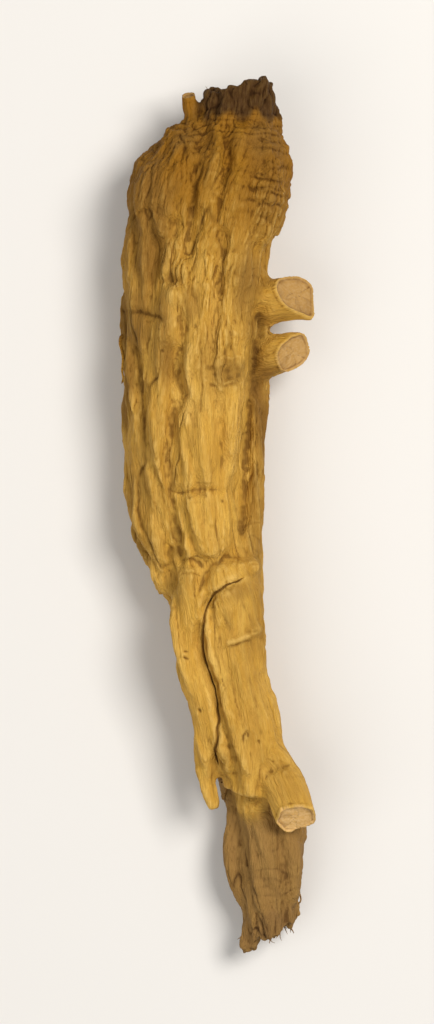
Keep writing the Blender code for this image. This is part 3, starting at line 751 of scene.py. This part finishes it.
# %% Cut faces
# Which way each knife cut looks, and how brown it is painted, partly as the cut's own browning and
# partly as painted shade.
CUT_FACES = {
    "upper_stump": ((0.55, 0.36, 0.75), 0.55),
    "lower_stump": ((0.58, -0.22, 0.78), 0.48),
    "leg_stump": ((0.12, -0.70, 0.70), 0.0),
    "bud": ((-0.2, 0.85, 0.5), 0.6),
}
CUT_REACH, CUT_MARGIN, CUT_GAP = 1.7, 0.8, 0.45
# How squarely a point has to look the cut's way to be on its flat, inside its rim or on it at all.
SQUARE, INSIDE_RIM, SLANTED = 0.93, 0.7, 0.35
# The limb's share of the skin where its cut begins, and where it is flattened in full.
LIMB_SHARE = (0.15, 0.45)
CUT_DISH, CUT_RIM, CUT_CRACK = 0.20, 0.08, 0.06
RIM_ROUNDS = 9
BARK_LINE, BARK_LINE_WIDTH, BARK_LINE_DARK = 0.90, 0.06, 0.13
# Cracks run out from the middle like a star, and fine rays run between them. Both bend by so much
# with each millimetre outwards, and end in this span inside the rim.
STAR_COUNT, STAR_LINE, STAR_DARK = 1.3, 0.06, 0.20
RAY_COUNT, RAY_DARK = 6.0, 0.06
STAR_BEND, STAR_SPAN = 0.15, (0.75, 1.0)

cut = np.zeros(len(points))
for name, (facing, brown_and_shade) in CUT_FACES.items():
    facing = unit(np.array(facing))
    x, y, z, half_width = LIMB_LINES[name][-1]
    near = np.linalg.norm(points - (x, y, z), axis=1) < CUT_REACH * half_width + CUT_MARGIN
    near &= shares[name] > LIMB_SHARE[0]
    flat = near & (normals @ facing > SQUARE)
    level = np.median(points[flat] @ facing)
    centre = points[flat].mean(0)
    off = points @ facing - level
    on_face = near & (normals @ facing > SLANTED) & (np.abs(off) < CUT_GAP)
    hold = ramp(shares[name], *LIMB_SHARE)
    points[on_face] -= (off * hold)[on_face, None] * facing
    inside = smoothed((near & (normals @ facing > INSIDE_RIM)).astype(float), edges, RIM_ROUNDS)
    side = unit(np.cross(facing, UP))
    angle = np.arctan2((points - centre) @ np.cross(facing, side), (points - centre) @ side)
    bend = STAR_BEND * np.linalg.norm(points - centre, axis=1)
    around = np.column_stack([np.cos(angle), np.sin(angle), bend])
    star = bell(noise_at(STAR_COUNT * around, SEED + 60.0) / STAR_LINE) * ramp(inside, *STAR_SPAN)
    rays = ramp(noise_at(RAY_COUNT * around, SEED + 61.0), 0.0, 0.5) * ramp(inside, *STAR_SPAN)
    bark_line = bell((inside - BARK_LINE) / BARK_LINE_WIDTH)
    share = ramp(inside, 0.42, 0.62)
    height *= 1.0 - share
    height += CUT_RIM * bell((inside - 0.55) / 0.18) - CUT_DISH * ramp(inside, 0.6, 1.0) - CUT_CRACK * star
    marks = STAR_DARK * star + RAY_DARK * rays + BARK_LINE_DARK * bark_line
    crack_and_shade = np.maximum(crack_and_shade * (1.0 - share), marks)
    stain_and_shadow += share * (brown_and_shade - stain_and_shadow)
    ridge_highlight *= 1.0 - share
    cut = np.maximum(cut, share)
    print("%-12s cut face of %d points" % (name, flat.sum()))

# %% The torn neck and the torn tail
NECK_START, NECK_FULL = 50.5, 52.1
NECK_RAGGED = 1.6
KNOB_DEPTH, KNOB_SIZE = 0.40, 2.4
NECK_DEPTH, NECK_SIZE = 0.26, (0.5, 0.5, 2.6)
CRUMB_DEPTH, CRUMB_SIZE = 0.16, 0.9
TAIL_START, TAIL_FULL = -49.0, -51.5
TAIL_DEPTH, TAIL_SIZE = 0.40, (0.5, 0.5, 5.0)
# How far the broken ends stand out and fall back along the root, and the width of one such tooth.
NECK_TEAR, TAIL_TEAR, TEAR_SIZES = 0.6, 1.3, (3.2, 1.1)
NECK_TEAR_START = 53.4
TAIL_SLANT, TAIL_LEFT = 0.40, 4.8

ragged = NECK_RAGGED * noise_at(stretched(places["trunk"], 1.6, 4.0), SEED + 72.0)
neck = ramp(points[:, 1] + ragged, NECK_START, NECK_FULL) * shares["trunk"]
rough = noise_at(places["trunk"] / NECK_SIZE, SEED + 70.0)
crumbs = noise_at(points / CRUMB_SIZE, SEED + 73.0)
height += neck * (NECK_DEPTH * rough + CRUMB_DEPTH * crumbs)
height += KNOB_DEPTH * neck * (valleys(noise_at(points / KNOB_SIZE, SEED + 71.0)) - 0.5)
crack_and_shade *= 1.0 - neck
torn = ramp(points[:, 1], TAIL_START, TAIL_FULL)
rough = noise_at(places["trunk"] / TAIL_SIZE, SEED + 80.0)
height += torn * (TAIL_DEPTH * rough + CRUMB_DEPTH * crumbs)
tear = sum(noise_at(points * (1.0, 0.0, 1.0) / size, SEED + 84.0) for size in TEAR_SIZES)
slant = TAIL_SLANT * (points[:, 0] - TAIL_LEFT)
points[:, 1] += ramp(points[:, 1], TAIL_START + 2.0, TAIL_FULL) * (TAIL_TEAR * tear + slant)
torn_neck = ramp(points[:, 1], NECK_TEAR_START, NECK_TEAR_START + 2.0) * shares["trunk"]
points[:, 1] += torn_neck * NECK_TEAR * tear
print("neck and tail torn")

# %% Move the skin
# Folds stand out less and less within this height of the table. Grooves run on under the root.
GROUND_FADE = 0.4

write(skin.data, points)
normals = read(skin.data, "normal")
lift = ramp(points[:, 2] - DRAWING_ZERO[2], 0.0, GROUND_FADE)
height = np.maximum(height, 0.0) * lift + np.minimum(height, 0.0)
points = points + normals * height[:, None]
points[:, 2] = np.maximum(points[:, 2], DRAWING_ZERO[2])
write(skin.data, points)
print("the skin spans", np.round(np.ptp(points, axis=0), 1), "mm")

# %% [markdown]
# ## Broken rootlets and torn fibres
#
# Thin rootlets grow all over a ginseng root. Most are rubbed off before it is dried, and the few
# that stay are short, bent and broken. Each is a tube, and its middle line creeps over the skin:
# step by step it goes on in its own direction, is pressed back onto the skin, and turns a little.
# The neck and the tail end in torn fibres, which are thinner tubes that stand free. A bevelled
# curve could draw them too, but rings of our own can swell, dent and taper from one to the next.

# %% Values kept on a mesh
def keep_mask(mesh, name, values):
    """Stores one number from 0 to 1 for every point."""
    layer = mesh.attributes.new(name, "FLOAT", "POINT")
    layer.data.foreach_set("value", np.clip(values, 0.0, 1.0).astype(np.float32))


def keep_places(mesh, name, rows):
    """Stores a place in millimetres for every point."""
    layer = mesh.attributes.new(name, "FLOAT_VECTOR", "POINT")
    layer.data.foreach_set("vector", rows.astype(np.float32).ravel())


# %% Tubes
TUBE_SIDES = 8
# Where the tail is painted darker, partly as painted shade.
TAIL_SHADE_AND_TONE_SPAN = (-22.0, -33.0)
DENT, DENT_SIZE = 0.22, 0.5


def tube_round(line, widths):
    """The corners and faces of a closed tube round a line, with a half width at every stop."""
    ahead = np.gradient(line, axis=0)
    ahead /= np.linalg.norm(ahead, axis=1)[:, None]
    turn = 2.0 * math.pi * np.arange(TUBE_SIDES) / TUBE_SIDES
    side = np.cross(ahead[0], (0.3, 0.2, 0.9))
    corners = []
    for middle, way, width in zip(line, ahead, widths):
        side = unit(side - (side @ way) * way)
        ring = np.outer(np.cos(turn), side) + np.outer(np.sin(turn), np.cross(way, side))
        dents = 1.0 + DENT * noise_at((middle + width * ring) / DENT_SIZE, SEED)
        corners.append(middle + width * dents[:, None] * ring)
    corners = np.concatenate(corners)
    faces = []
    for first in range(0, len(corners) - TUBE_SIDES, TUBE_SIDES):
        for j in range(TUBE_SIDES):
            a, b = first + j, first + (j + 1) % TUBE_SIDES
            faces.append((a, b, b + TUBE_SIDES, a + TUBE_SIDES))
    faces.append(tuple(reversed(range(TUBE_SIDES))))
    faces.append(tuple(range(len(corners) - TUBE_SIDES, len(corners))))
    return corners, faces


def add_tubes(name, tubes):
    """One piece of many tubes. Every corner knows how near it is to its tube's tip."""
    corners, faces, tips = [], [], []
    count = 0
    for line, widths in tubes:
        ring_corners, ring_faces = tube_round(line, widths)
        corners.append(ring_corners)
        faces += [[corner + count for corner in face] for face in ring_faces]
        tips.append(np.repeat(np.linspace(0.0, 1.0, len(line)), TUBE_SIDES))
        count += len(ring_corners)
    corners = np.concatenate(corners)
    mesh = bpy.data.meshes.new(name)
    mesh.from_pydata(((corners - DRAWING_ZERO) * MM).tolist(), [], faces)
    keep_mask(mesh, "tip", np.concatenate(tips))
    keep_mask(mesh, "tail_shade_and_tone", ramp(corners[:, 1], *TAIL_SHADE_AND_TONE_SPAN))
    keep_places(mesh, "grain", corners)
    mesh.shade_smooth()
    piece = add_object(name, mesh)
    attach(piece, "root")
    print("%-12s %3d tubes, %5d faces" % (name, len(tubes), len(faces)))
    return piece


def above_table(line, half_width):
    """The line, lifted where a tube round it would reach into the table."""
    line = np.array(line, float)
    line[:, 2] = np.maximum(line[:, 2], DRAWING_ZERO[2] + half_width)
    return line


# %% Rootlets
# Where each starts and heads, in the drawing's millimetres, then its length, the half width of its
# foot, and how far its tip stands off the skin.
ROOTLETS = [
    ((-12.5, 24.0, 6.0), (-0.2, -1.0, 0.3), 7.0, 0.22, 0.3),
    ((-12.8, 15.0, 3.0), (0.2, -1.0, -0.2), 5.0, 0.18, 0.5),
    ((-11.0, 3.0, 5.0), (0.0, -1.0, -0.2), 9.0, 0.22, 0.7),
    ((7.5, 10.0, 2.2), (0.2, -1.0, -0.1), 8.0, 0.20, 0.4),
    ((7.2, -1.0, 2.5), (-0.1, -1.0, 0.4), 6.0, 0.17, 0.5),
    ((6.5, -12.0, 2.6), (0.1, -1.0, -0.2), 9.0, 0.21, 0.3),
    ((-6.5, -8.0, 4.5), (-0.3, -1.0, 0.0), 7.0, 0.18, 0.6),
    ((-4.2, -21.0, 6.5), (0.0, -1.0, -0.3), 5.0, 0.16, 0.4),
    ((-9.0, 44.0, 3.5), (-0.7, 0.6, 0.1), 4.0, 0.20, 0.4),
    ((9.5, 39.0, 4.5), (0.5, -0.8, -0.3), 5.0, 0.18, 0.4),
    ((1.0, -33.5, 2.5), (-0.4, -1.0, 0.1), 7.0, 0.20, 0.4),
    ((10.5, -44.0, 4.0), (0.5, -1.0, 0.1), 5.0, 0.17, 0.5),
    ((-13.0, 34.0, 3.5), (-0.2, -1.0, -0.4), 6.0, 0.20, 0.4),
]
CREEP_STEP = 0.25
CREEP_TURN, CREEP_TURN_SIZE = 0.45, 1.8
FOOT_DEPTH, FOOT_FLARE, FOOT_RUN = 0.35, 1.3, 1.6
TIP_SHARE, BROKEN_TIP = 0.50, 0.35
LINE_EASING = 4

skin_tree = BVHTree.FromObject(skin, bpy.context.evaluated_depsgraph_get())
# Vector noise starts from the clock, so it is given a seed. Then every run grows the same rootlets.
noise.seed_set(int(SEED))


def creeping_line(start, heading, length, half_width, lift, seed):
    """A line that creeps over the skin, from inside it to a tip that stands off."""
    line = []
    place, ahead = Vector(start), Vector(heading)
    steps = int(length / CREEP_STEP)
    for i in range(steps + 1):
        spot, normal, _, _ = skin_tree.find_nearest(place)
        if i == 0:
            line.append(spot - FOOT_DEPTH * normal)
        line.append(spot + (0.5 * half_width + lift * (i / steps) ** 2) * normal)
        ahead = (ahead - ahead.dot(normal) * normal).normalized()
        turn = noise.noise_vector(place / CREEP_TURN_SIZE + Vector((seed, seed, seed)))
        ahead = (ahead + CREEP_TURN * turn).normalized()
        place = spot + CREEP_STEP * ahead
    line = np.array(line)
    for _ in range(LINE_EASING):
        line[1:-1] = 0.5 * line[1:-1] + 0.25 * (line[:-2] + line[2:])
    return above_table(line, half_width)


def tapered(count, half_width):
    """Half widths from a flared foot to a thin broken tip."""
    stops = np.arange(count)
    widths = half_width * (1.0 + FOOT_FLARE * np.exp(-stops / FOOT_RUN))
    widths *= 1.0 - (1.0 - TIP_SHARE) * stops / count
    widths[-1] *= BROKEN_TIP
    return widths


tubes = []
for i, (start, heading, length, half_width, lift) in enumerate(ROOTLETS):
    line = creeping_line(start, heading, length, half_width, lift, SEED + 3.0 * i)
    tubes.append((line, tapered(len(line), half_width)))
rootlets = add_tubes("rootlets", tubes)

# %% Torn fibres
FIBRE_STOPS = 9
FIBRE_BEND, FIBRE_BEND_SIZE = 0.35, 0.8
FIBRE_FOOT = 0.35
FIBRE_HALF_WIDTHS = (0.05, 0.10)
# The middle of each torn end, which way it points, how many fibres, how far out they are sought, and
# the longest of them.
TORN_ENDS = {
    "neck_fibres": ((2.3, 55.2, 8.5), 1.0, 16, 4.3, 0.7),
    "tail_fibres": ((6.6, -52.6, 4.4), -1.0, 22, 4.0, 1.3),
}
SHORTEST_FIBRE = 0.3
SPLAY = 0.10


def free_line(start, heading, length, half_width, seed):
    """A line that starts just inside the skin and bends as it stands free."""
    ahead = Vector(heading).normalized()
    place = Vector(start) - FIBRE_FOOT * ahead
    line = []
    for _ in range(FIBRE_STOPS):
        line.append(tuple(place))
        turn = noise.noise_vector(place / FIBRE_BEND_SIZE + Vector((seed, seed, seed)))
        ahead = (ahead + FIBRE_BEND * turn).normalized()
        place = place + ahead * (length + FIBRE_FOOT) / FIBRE_STOPS
    return above_table(line, half_width)


chance = np.random.default_rng(5)
fibres = {}
for name, (centre, way, count, reach, longest) in TORN_ENDS.items():
    tubes = []
    for i in range(count):
        angle = 2.0 * math.pi * (i + 0.8 * chance.random()) / count
        outward = Vector((math.cos(angle), 0.0, math.sin(angle)))
        seek = Vector(centre) + reach * outward + Vector((0.0, way * chance.uniform(-1.0, 0.8), 0.0))
        spot = skin_tree.find_nearest(seek)[0]
        half_width = chance.uniform(*FIBRE_HALF_WIDTHS)
        length = chance.uniform(SHORTEST_FIBRE, longest)
        line = free_line(spot, SPLAY * outward + Vector((0.0, way, 0.0)), length, half_width, 7.0 * i)
        tubes.append((line, half_width * np.linspace(1.2, 0.3, FIBRE_STOPS)))
    fibres[name] = add_tubes(name, tubes)

# %% [markdown]
# ## Masks for the colours
#
# The colours follow the shape: the valleys are painted darker, as painted shade with some dust,
# and the crests paler, as painted highlight with some wear. How hollow a place is can be measured,
# as the way from a point to the mean of the points round it. A few rounds of averaging find the
# fine creases, many rounds find the deep grooves. The masks are stored on the mesh's points, where
# any material can read them by name.

# %% Masks
FINE_ROUNDS, DEEP_ROUNDS = 5, 70
FINE_SPAN, DEEP_SPAN = 0.070, 0.70
# Where the amber of the head begins and is full, how far its edge wanders, and the width and run of
# one such sway.
AMBER_START, AMBER_FULL, AMBER_WANDER, AMBER_SWAY = 24.0, 47.0, 6.0, (2.2, 7.0)

normals = read(skin.data, "normal")
fine = hollowness(points, normals, edges, FINE_ROUNDS)
deep = hollowness(points, normals, edges, DEEP_ROUNDS)
print("fine hollows %.3f, deep hollows %.3f mm" % (np.percentile(fine, 98), np.percentile(deep, 98)))

wander = AMBER_WANDER * noise_at(stretched(grain, *AMBER_SWAY), SEED + 8.0)
amber = ramp(points[:, 1] + wander, AMBER_START, AMBER_FULL)
# The tail is painted darker and greyer, partly as painted shade and partly as its own darker bark.
tail_shade_and_tone = ramp(points[:, 1], *TAIL_SHADE_AND_TONE_SPAN) * shares["trunk"]
masks = {"hollow": 0.5 + 0.5 * fine / FINE_SPAN, "valley": 0.5 + 0.5 * deep / DEEP_SPAN, "crack_and_shade": crack_and_shade,
         "cut": cut, "stain_and_shadow": stain_and_shadow, "ridge_highlight": ridge_highlight, "amber": amber, "neck": neck, "tail_shade_and_tone": tail_shade_and_tone}
for name, values in masks.items():
    keep_mask(skin.data, name, values)
keep_places(skin.data, "grain", grain)

# %% Thin the net out
# A fine even net has more triangles than one piece may have. The modifier takes points away where
# the skin is nearly flat, and keeps them, and the masks, on creases and rims.
MOST_TRIANGLES = 197000

write(skin.data, (points - DRAWING_ZERO) * MM)
thinner = skin.modifiers.new("thinner", "DECIMATE")
thinner.ratio = MOST_TRIANGLES / (2.0 * len(skin.data.polygons))
thinner.use_collapse_triangulate = True
bake_modifiers(skin)
print("the skin now has", len(skin.data.polygons), "triangles")

# %% [markdown]
# ## Shader groups
#
# The skin, the torn fibres and the rootlets share two effects: streaks that run along the limb,
# and hollows painted darker as painted shade with some dirt, crests paler as painted highlight with
# some wear. Each is a node group with named inputs, so a material only has to say how wide, how
# long and how strong.

# %% Node helpers
def feed(tree, socket, value):
    """Gives a socket a value, or links another node's output to it."""
    if isinstance(value, bpy.types.NodeSocket):
        tree.links.new(value, socket)
    else:
        socket.default_value = value


def add_node(tree, kind, inputs=None, **settings):
    """A node with its settings. An input is a value or another node's output."""
    node = tree.nodes.new(kind)
    for name, value in settings.items():
        setattr(node, name, value)
    for key, value in (inputs or {}).items():
        feed(tree, node.inputs[key], value)
    return node


def blend(tree, share, first, second, how="MIX"):
    """Two colours mixed by a share from 0 to 1."""
    node = add_node(tree, "ShaderNodeMix", data_type="RGBA", blend_type=how)
    for index, value in ((0, share), (6, first), (7, second)):
        feed(tree, node.inputs[index], value)
    return node.outputs[2]


def reckon(tree, how, *values):
    """One sum, product or the like of up to three numbers."""
    return add_node(tree, "ShaderNodeMath", dict(enumerate(values)), operation=how).outputs[0]


def spread(tree, value, start, end, low=0.0, high=1.0):
    """Turns the span from start to end into the span from low to high, eased."""
    inputs = {"Value": value, "From Min": start, "From Max": end, "To Min": low, "To Max": high}
    return add_node(tree, "ShaderNodeMapRange", inputs, interpolation_type="SMOOTHSTEP").outputs["Result"]


def mask(tree, name):
    """A mask that is stored on the mesh."""
    return add_node(tree, "ShaderNodeAttribute", attribute_name=name).outputs["Fac"]


def new_group(name, inputs, outputs):
    """An empty shader group, with (name, kind, default) inputs and (name, kind) outputs."""
    tree = bpy.data.node_groups.new(name, "ShaderNodeTree")
    for label, kind, default in inputs:
        socket = tree.interface.new_socket(label, in_out="INPUT", socket_type=kind)
        if default is not None:
            socket.default_value = default
    for label, kind in outputs:
        tree.interface.new_socket(label, in_out="OUTPUT", socket_type=kind)
    return tree, tree.nodes.new("NodeGroupInput").outputs, tree.nodes.new("NodeGroupOutput").inputs


def place_group(tree, group, inputs):
    """A group in a material, with its own values."""
    return add_node(tree, "ShaderNodeGroup", inputs, node_tree=group).outputs


# %% Streaks along the limb
FLOAT, COLOUR, VECTOR = "NodeSocketFloat", "NodeSocketColor", "NodeSocketVector"


def long_streaks():
    """Noise drawn out along the limb. Grain is a place in millimetres: across, above, along."""
    inputs = [("Grain", VECTOR, None), ("Width", FLOAT, 0.5), ("Run", FLOAT, 6.0), ("Detail", FLOAT, 2.0)]
    tree, given, out = new_group("long_streaks", inputs, [("Streak", FLOAT)])
    width, run = given["Width"], given["Run"]
    size = add_node(tree, "ShaderNodeCombineXYZ", {"X": width, "Y": width, "Z": run}).outputs[0]
    ends = {0: given["Grain"], 1: size}
    place = add_node(tree, "ShaderNodeVectorMath", ends, operation="DIVIDE").outputs[0]
    cloud = add_node(tree, "ShaderNodeTexNoise", {"Vector": place, "Scale": 1.0, "Detail": given["Detail"]})
    tree.links.new(spread(tree, cloud.outputs["Fac"], 0.3, 0.7), out["Streak"])
    return tree


streaks_group = long_streaks()
print("group", streaks_group.name)


def streaks(tree, grain, width, run, detail):
    """Streaks so wide and so long, in millimetres."""
    values = {"Grain": grain, "Width": width, "Run": run, "Detail": detail}
    return place_group(tree, streaks_group, values)["Streak"]


# %% Painted shade and dirt in the hollows, painted highlight and wear on the crests
def shade_highlight_and_wear():
    """Darkens a colour in hollows and cracks, as painted shade with some dirt, and pales it on crests, as
    painted highlight with some wear.
    """
    inputs = [("Skin", COLOUR, (0.6, 0.4, 0.15, 1.0)), ("Highlight_and_wear", COLOUR, (0.8, 0.6, 0.3, 1.0)),
              ("Groove_shade_and_dirt", COLOUR, (0.2, 0.1, 0.03, 1.0)), ("Crack_and_shade_colour", COLOUR, (0.06, 0.03, 0.01, 1.0)),
              ("Hollow", FLOAT, 0.5), ("Valley", FLOAT, 0.5), ("Crack_and_shade", FLOAT, 0.0)]
    outputs = [("Colour", COLOUR), ("Shade_and_dirt", FLOAT)]
    tree, given, out = new_group("shade_highlight_and_wear", inputs, outputs)
    crest = spread(tree, given["Hollow"], 0.48, 0.10, 0.0, 0.70)
    fine = spread(tree, given["Hollow"], 0.52, 0.95, 0.0, 0.80)
    deep = spread(tree, given["Valley"], 0.62, 1.0, 0.0, 0.55)
    shade_and_dirt = reckon(tree, "MAXIMUM", fine, deep)
    colour = blend(tree, crest, given["Skin"], given["Highlight_and_wear"])
    colour = blend(tree, shade_and_dirt, colour, given["Groove_shade_and_dirt"])
    colour = blend(tree, given["Crack_and_shade"], colour, given["Crack_and_shade_colour"])
    tree.links.new(colour, out["Colour"])
    tree.links.new(reckon(tree, "MAXIMUM", shade_and_dirt, given["Crack_and_shade"]), out["Shade_and_dirt"])
    return tree


shade_and_wear_group = shade_highlight_and_wear()
print("group", shade_and_wear_group.name)

# %% [markdown]
# ## The skin's material
#
# Dried ginseng is ochre, but never one ochre. Streaks of paler and browner skin run along each
# limb, the head is a darker amber and the tail darker and greyer, both partly as painted shade, and
# the neck is nearly black. Cut faces are the pale inside of the root. The skin is matt, a little
# smoother where it is worn. Grain that is too fine for the mesh, the fibres and the pores, is left
# to a bump.

# %% Skin colours
OCHRE = (0.60, 0.330, 0.045, 1.0)
PALE_OCHRE = (0.67, 0.400, 0.075, 1.0)
BROWN_OCHRE = (0.42, 0.205, 0.030, 1.0)
HIGHLIGHT_AND_WEAR_OCHRE = (0.70, 0.440, 0.115, 1.0)
# Grooves take the first share of the colour under them, as painted shade with some dirt; cracks,
# creases and specks take the second, partly as painted shade.
GROOVE_SHADE_AND_DIRT_TINT = (0.42, 0.36, 0.34, 1.0)
CRACK_AND_SHADE_TINT = (0.19, 0.15, 0.18, 1.0)
# The head's darker amber is partly its own colour and partly painted shade over the crown.
AMBER = (0.25, 0.100, 0.002, 1.0)
# Raised folds are painted this much paler, as painted highlight, on the head in a colour of its own.
AMBER_RIDGE_HIGHLIGHT = (0.40, 0.190, 0.010, 1.0)
RIDGE_HIGHLIGHT_SHARE = 0.45
# How far the other masks and streaks turn the colour under them.
FINE_SHARE, CLOUD_SHARE = 0.45, 0.30
AMBER_SHARE, TAIL_SHADE_AND_TONE_SHARE, NECK_SHARE = 0.92, 0.80, 0.85
NECK_BROWN = (0.030, 0.013, 0.005, 1.0)
# The tail's darker grey-brown, partly painted shade.
TAIL_SHADE_AND_TONE = (0.22, 0.120, 0.040, 1.0)
STAIN_AND_SHADOW_BROWN = (0.22, 0.105, 0.016, 1.0)
INSIDE = (0.72, 0.46, 0.190, 1.0)
INSIDE_DARK = (0.62, 0.36, 0.11, 1.0)


def tinted(tree, colour, cover, share, other):
    """The colour, turned to the other one by a share of the cover."""
    return blend(tree, reckon(tree, "MULTIPLY", cover, share), colour, other)


def with_shade_and_wear(tree, colour, highlight_and_wear, masks):
    """The shade and wear group over a colour, with painted shade in grooves and cracks in shares of that
    colour.
    """
    groove_shade_and_dirt = blend(tree, 1.0, colour, GROOVE_SHADE_AND_DIRT_TINT, "MULTIPLY")
    crack_and_shade_colour = blend(tree, 1.0, colour, CRACK_AND_SHADE_TINT, "MULTIPLY")
    return place_group(tree, shade_and_wear_group, {"Skin": colour, "Highlight_and_wear": highlight_and_wear, "Groove_shade_and_dirt": groove_shade_and_dirt, "Crack_and_shade_colour": crack_and_shade_colour, **masks})


def bark_material(name):
    """A new matt material, with its nodes, its shader and the grain of the mesh."""
    material = bpy.data.materials.new(name)
    material.use_nodes = True
    tree = material.node_tree
    shader = tree.nodes["Principled BSDF"]
    shader.inputs["Specular IOR Level"].default_value = 0.12
    grain = add_node(tree, "ShaderNodeAttribute", attribute_name="grain").outputs["Vector"]
    return material, tree, shader, grain


def add_bump(tree, shader, height, distance, strength):
    """Grain too fine for the mesh, as a bump so many metres deep."""
    bump = add_node(tree, "ShaderNodeBump", {"Height": height, "Distance": distance, "Strength": strength})
    tree.links.new(bump.outputs["Normal"], shader.inputs["Normal"])


def skin_colour(tree, grain):
    """Ochre in streaks and patches, turned amber, brown or darker towards the tail by the masks, partly as
    painted shade, and paler on raised folds as painted highlight.
    """
    broad = streaks(tree, grain, 1.1, 9.0, 3.0)
    fine = streaks(tree, grain, 0.28, 3.2, 2.0)
    cloud = streaks(tree, grain, 6.0, 9.0, 2.0)
    colour = blend(tree, broad, OCHRE, PALE_OCHRE)
    colour = tinted(tree, colour, fine, FINE_SHARE, BROWN_OCHRE)
    colour = tinted(tree, colour, cloud, CLOUD_SHARE, BROWN_OCHRE)
    colour = tinted(tree, colour, mask(tree, "amber"), AMBER_SHARE, AMBER)
    raised = blend(tree, mask(tree, "amber"), HIGHLIGHT_AND_WEAR_OCHRE, AMBER_RIDGE_HIGHLIGHT)
    colour = tinted(tree, colour, mask(tree, "ridge_highlight"), RIDGE_HIGHLIGHT_SHARE, raised)
    colour = blend(tree, mask(tree, "stain_and_shadow"), colour, STAIN_AND_SHADOW_BROWN)
    colour = tinted(tree, colour, mask(tree, "tail_shade_and_tone"), TAIL_SHADE_AND_TONE_SHARE, TAIL_SHADE_AND_TONE)
    return colour, fine


def root_skin():
    """The bark of the root, its torn neck and the pale insides of its cuts."""
    material, tree, shader, grain = bark_material("root_skin")
    colour, fine = skin_colour(tree, grain)
    neck = mask(tree, "neck")
    cut = mask(tree, "cut")
    inside = blend(tree, mask(tree, "stain_and_shadow"), blend(tree, fine, INSIDE, INSIDE_DARK), STAIN_AND_SHADOW_BROWN)
    colour = tinted(tree, colour, neck, NECK_SHARE, NECK_BROWN)
    colour = blend(tree, cut, colour, inside)
    special = reckon(tree, "MAXIMUM", neck, cut)
    for name in ("amber", "tail_shade_and_tone", "stain_and_shadow"):
        special = reckon(tree, "MAXIMUM", special, mask(tree, name))
    highlight_and_wear = blend(tree, reckon(tree, "MULTIPLY_ADD", special, 0.80, 0.15), HIGHLIGHT_AND_WEAR_OCHRE, colour)
    masks = {label: mask(tree, label.lower()) for label in ("Hollow", "Valley", "Crack_and_shade")}
    looks = with_shade_and_wear(tree, colour, highlight_and_wear, masks)
    tree.links.new(looks["Colour"], shader.inputs["Base Color"])
    tree.links.new(spread(tree, looks["Shade_and_dirt"], 0.0, 0.8, 0.62, 0.90), shader.inputs["Roughness"])
    pores = add_node(tree, "ShaderNodeTexNoise", {"Vector": grain, "Scale": 6.0, "Detail": 3.0})
    fibre = streaks(tree, grain, 0.16, 2.0, 2.0)
    relief = reckon(tree, "MULTIPLY_ADD", pores.outputs["Fac"], 0.5, fibre)
    relief = reckon(tree, "MULTIPLY", relief, spread(tree, cut, 0.0, 1.0, 1.0, 0.25))
    add_bump(tree, shader, relief, 0.00012, 0.8)
    return material


skin.data.materials.append(root_skin())
skin.data.shade_smooth()
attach(skin, "root")
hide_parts("ginseng_root")
print("the skin is dressed")

# %% [markdown]
# ## Rootlets and fibres
#
# Rootlets have the same bark as the root, only thinner and browner, so they use the same two
# groups with finer streaks. Their feet and broken tips are darkest. Torn fibres are dark where
# they leave the neck or the tail and dry to the colour of straw towards their tips.

# %% Rootlet and fibre colours
NECK_STRAW = (0.17, 0.085, 0.028, 1.0)
TAIL_STRAW = (0.27, 0.160, 0.065, 1.0)


def thin_bark(name, foot, tip, ends):
    """A streaky material that turns from the foot's colour to the tip's, with dark ends."""
    material, tree, shader, grain = bark_material(name)
    shader.inputs["Roughness"].default_value = 0.85
    streak = streaks(tree, grain, 0.25, 0.9, 2.0)
    along = mask(tree, "tip")
    colour = blend(tree, along, foot, tip)
    colour = tinted(tree, colour, mask(tree, "tail_shade_and_tone"), TAIL_SHADE_AND_TONE_SHARE, TAIL_SHADE_AND_TONE)
    middle = reckon(tree, "ABSOLUTE", reckon(tree, "SUBTRACT", along, 0.5))
    dark = spread(tree, middle, 0.30, 0.52, 0.0, ends)
    looks = with_shade_and_wear(tree, colour, colour, {"Hollow": streak, "Crack_and_shade": dark})
    tree.links.new(looks["Colour"], shader.inputs["Base Color"])
    add_bump(tree, shader, streak, 0.00004, 0.6)
    return material


rootlets.data.materials.append(thin_bark("rootlet_bark", BROWN_OCHRE, OCHRE, 0.7))
fibres["neck_fibres"].data.materials.append(thin_bark("neck_fibre", NECK_BROWN, NECK_STRAW, 0.2))
fibres["tail_fibres"].data.materials.append(thin_bark("tail_fibre", TAIL_SHADE_AND_TONE, TAIL_STRAW, 0.2))
print("rootlets and fibres are dressed")
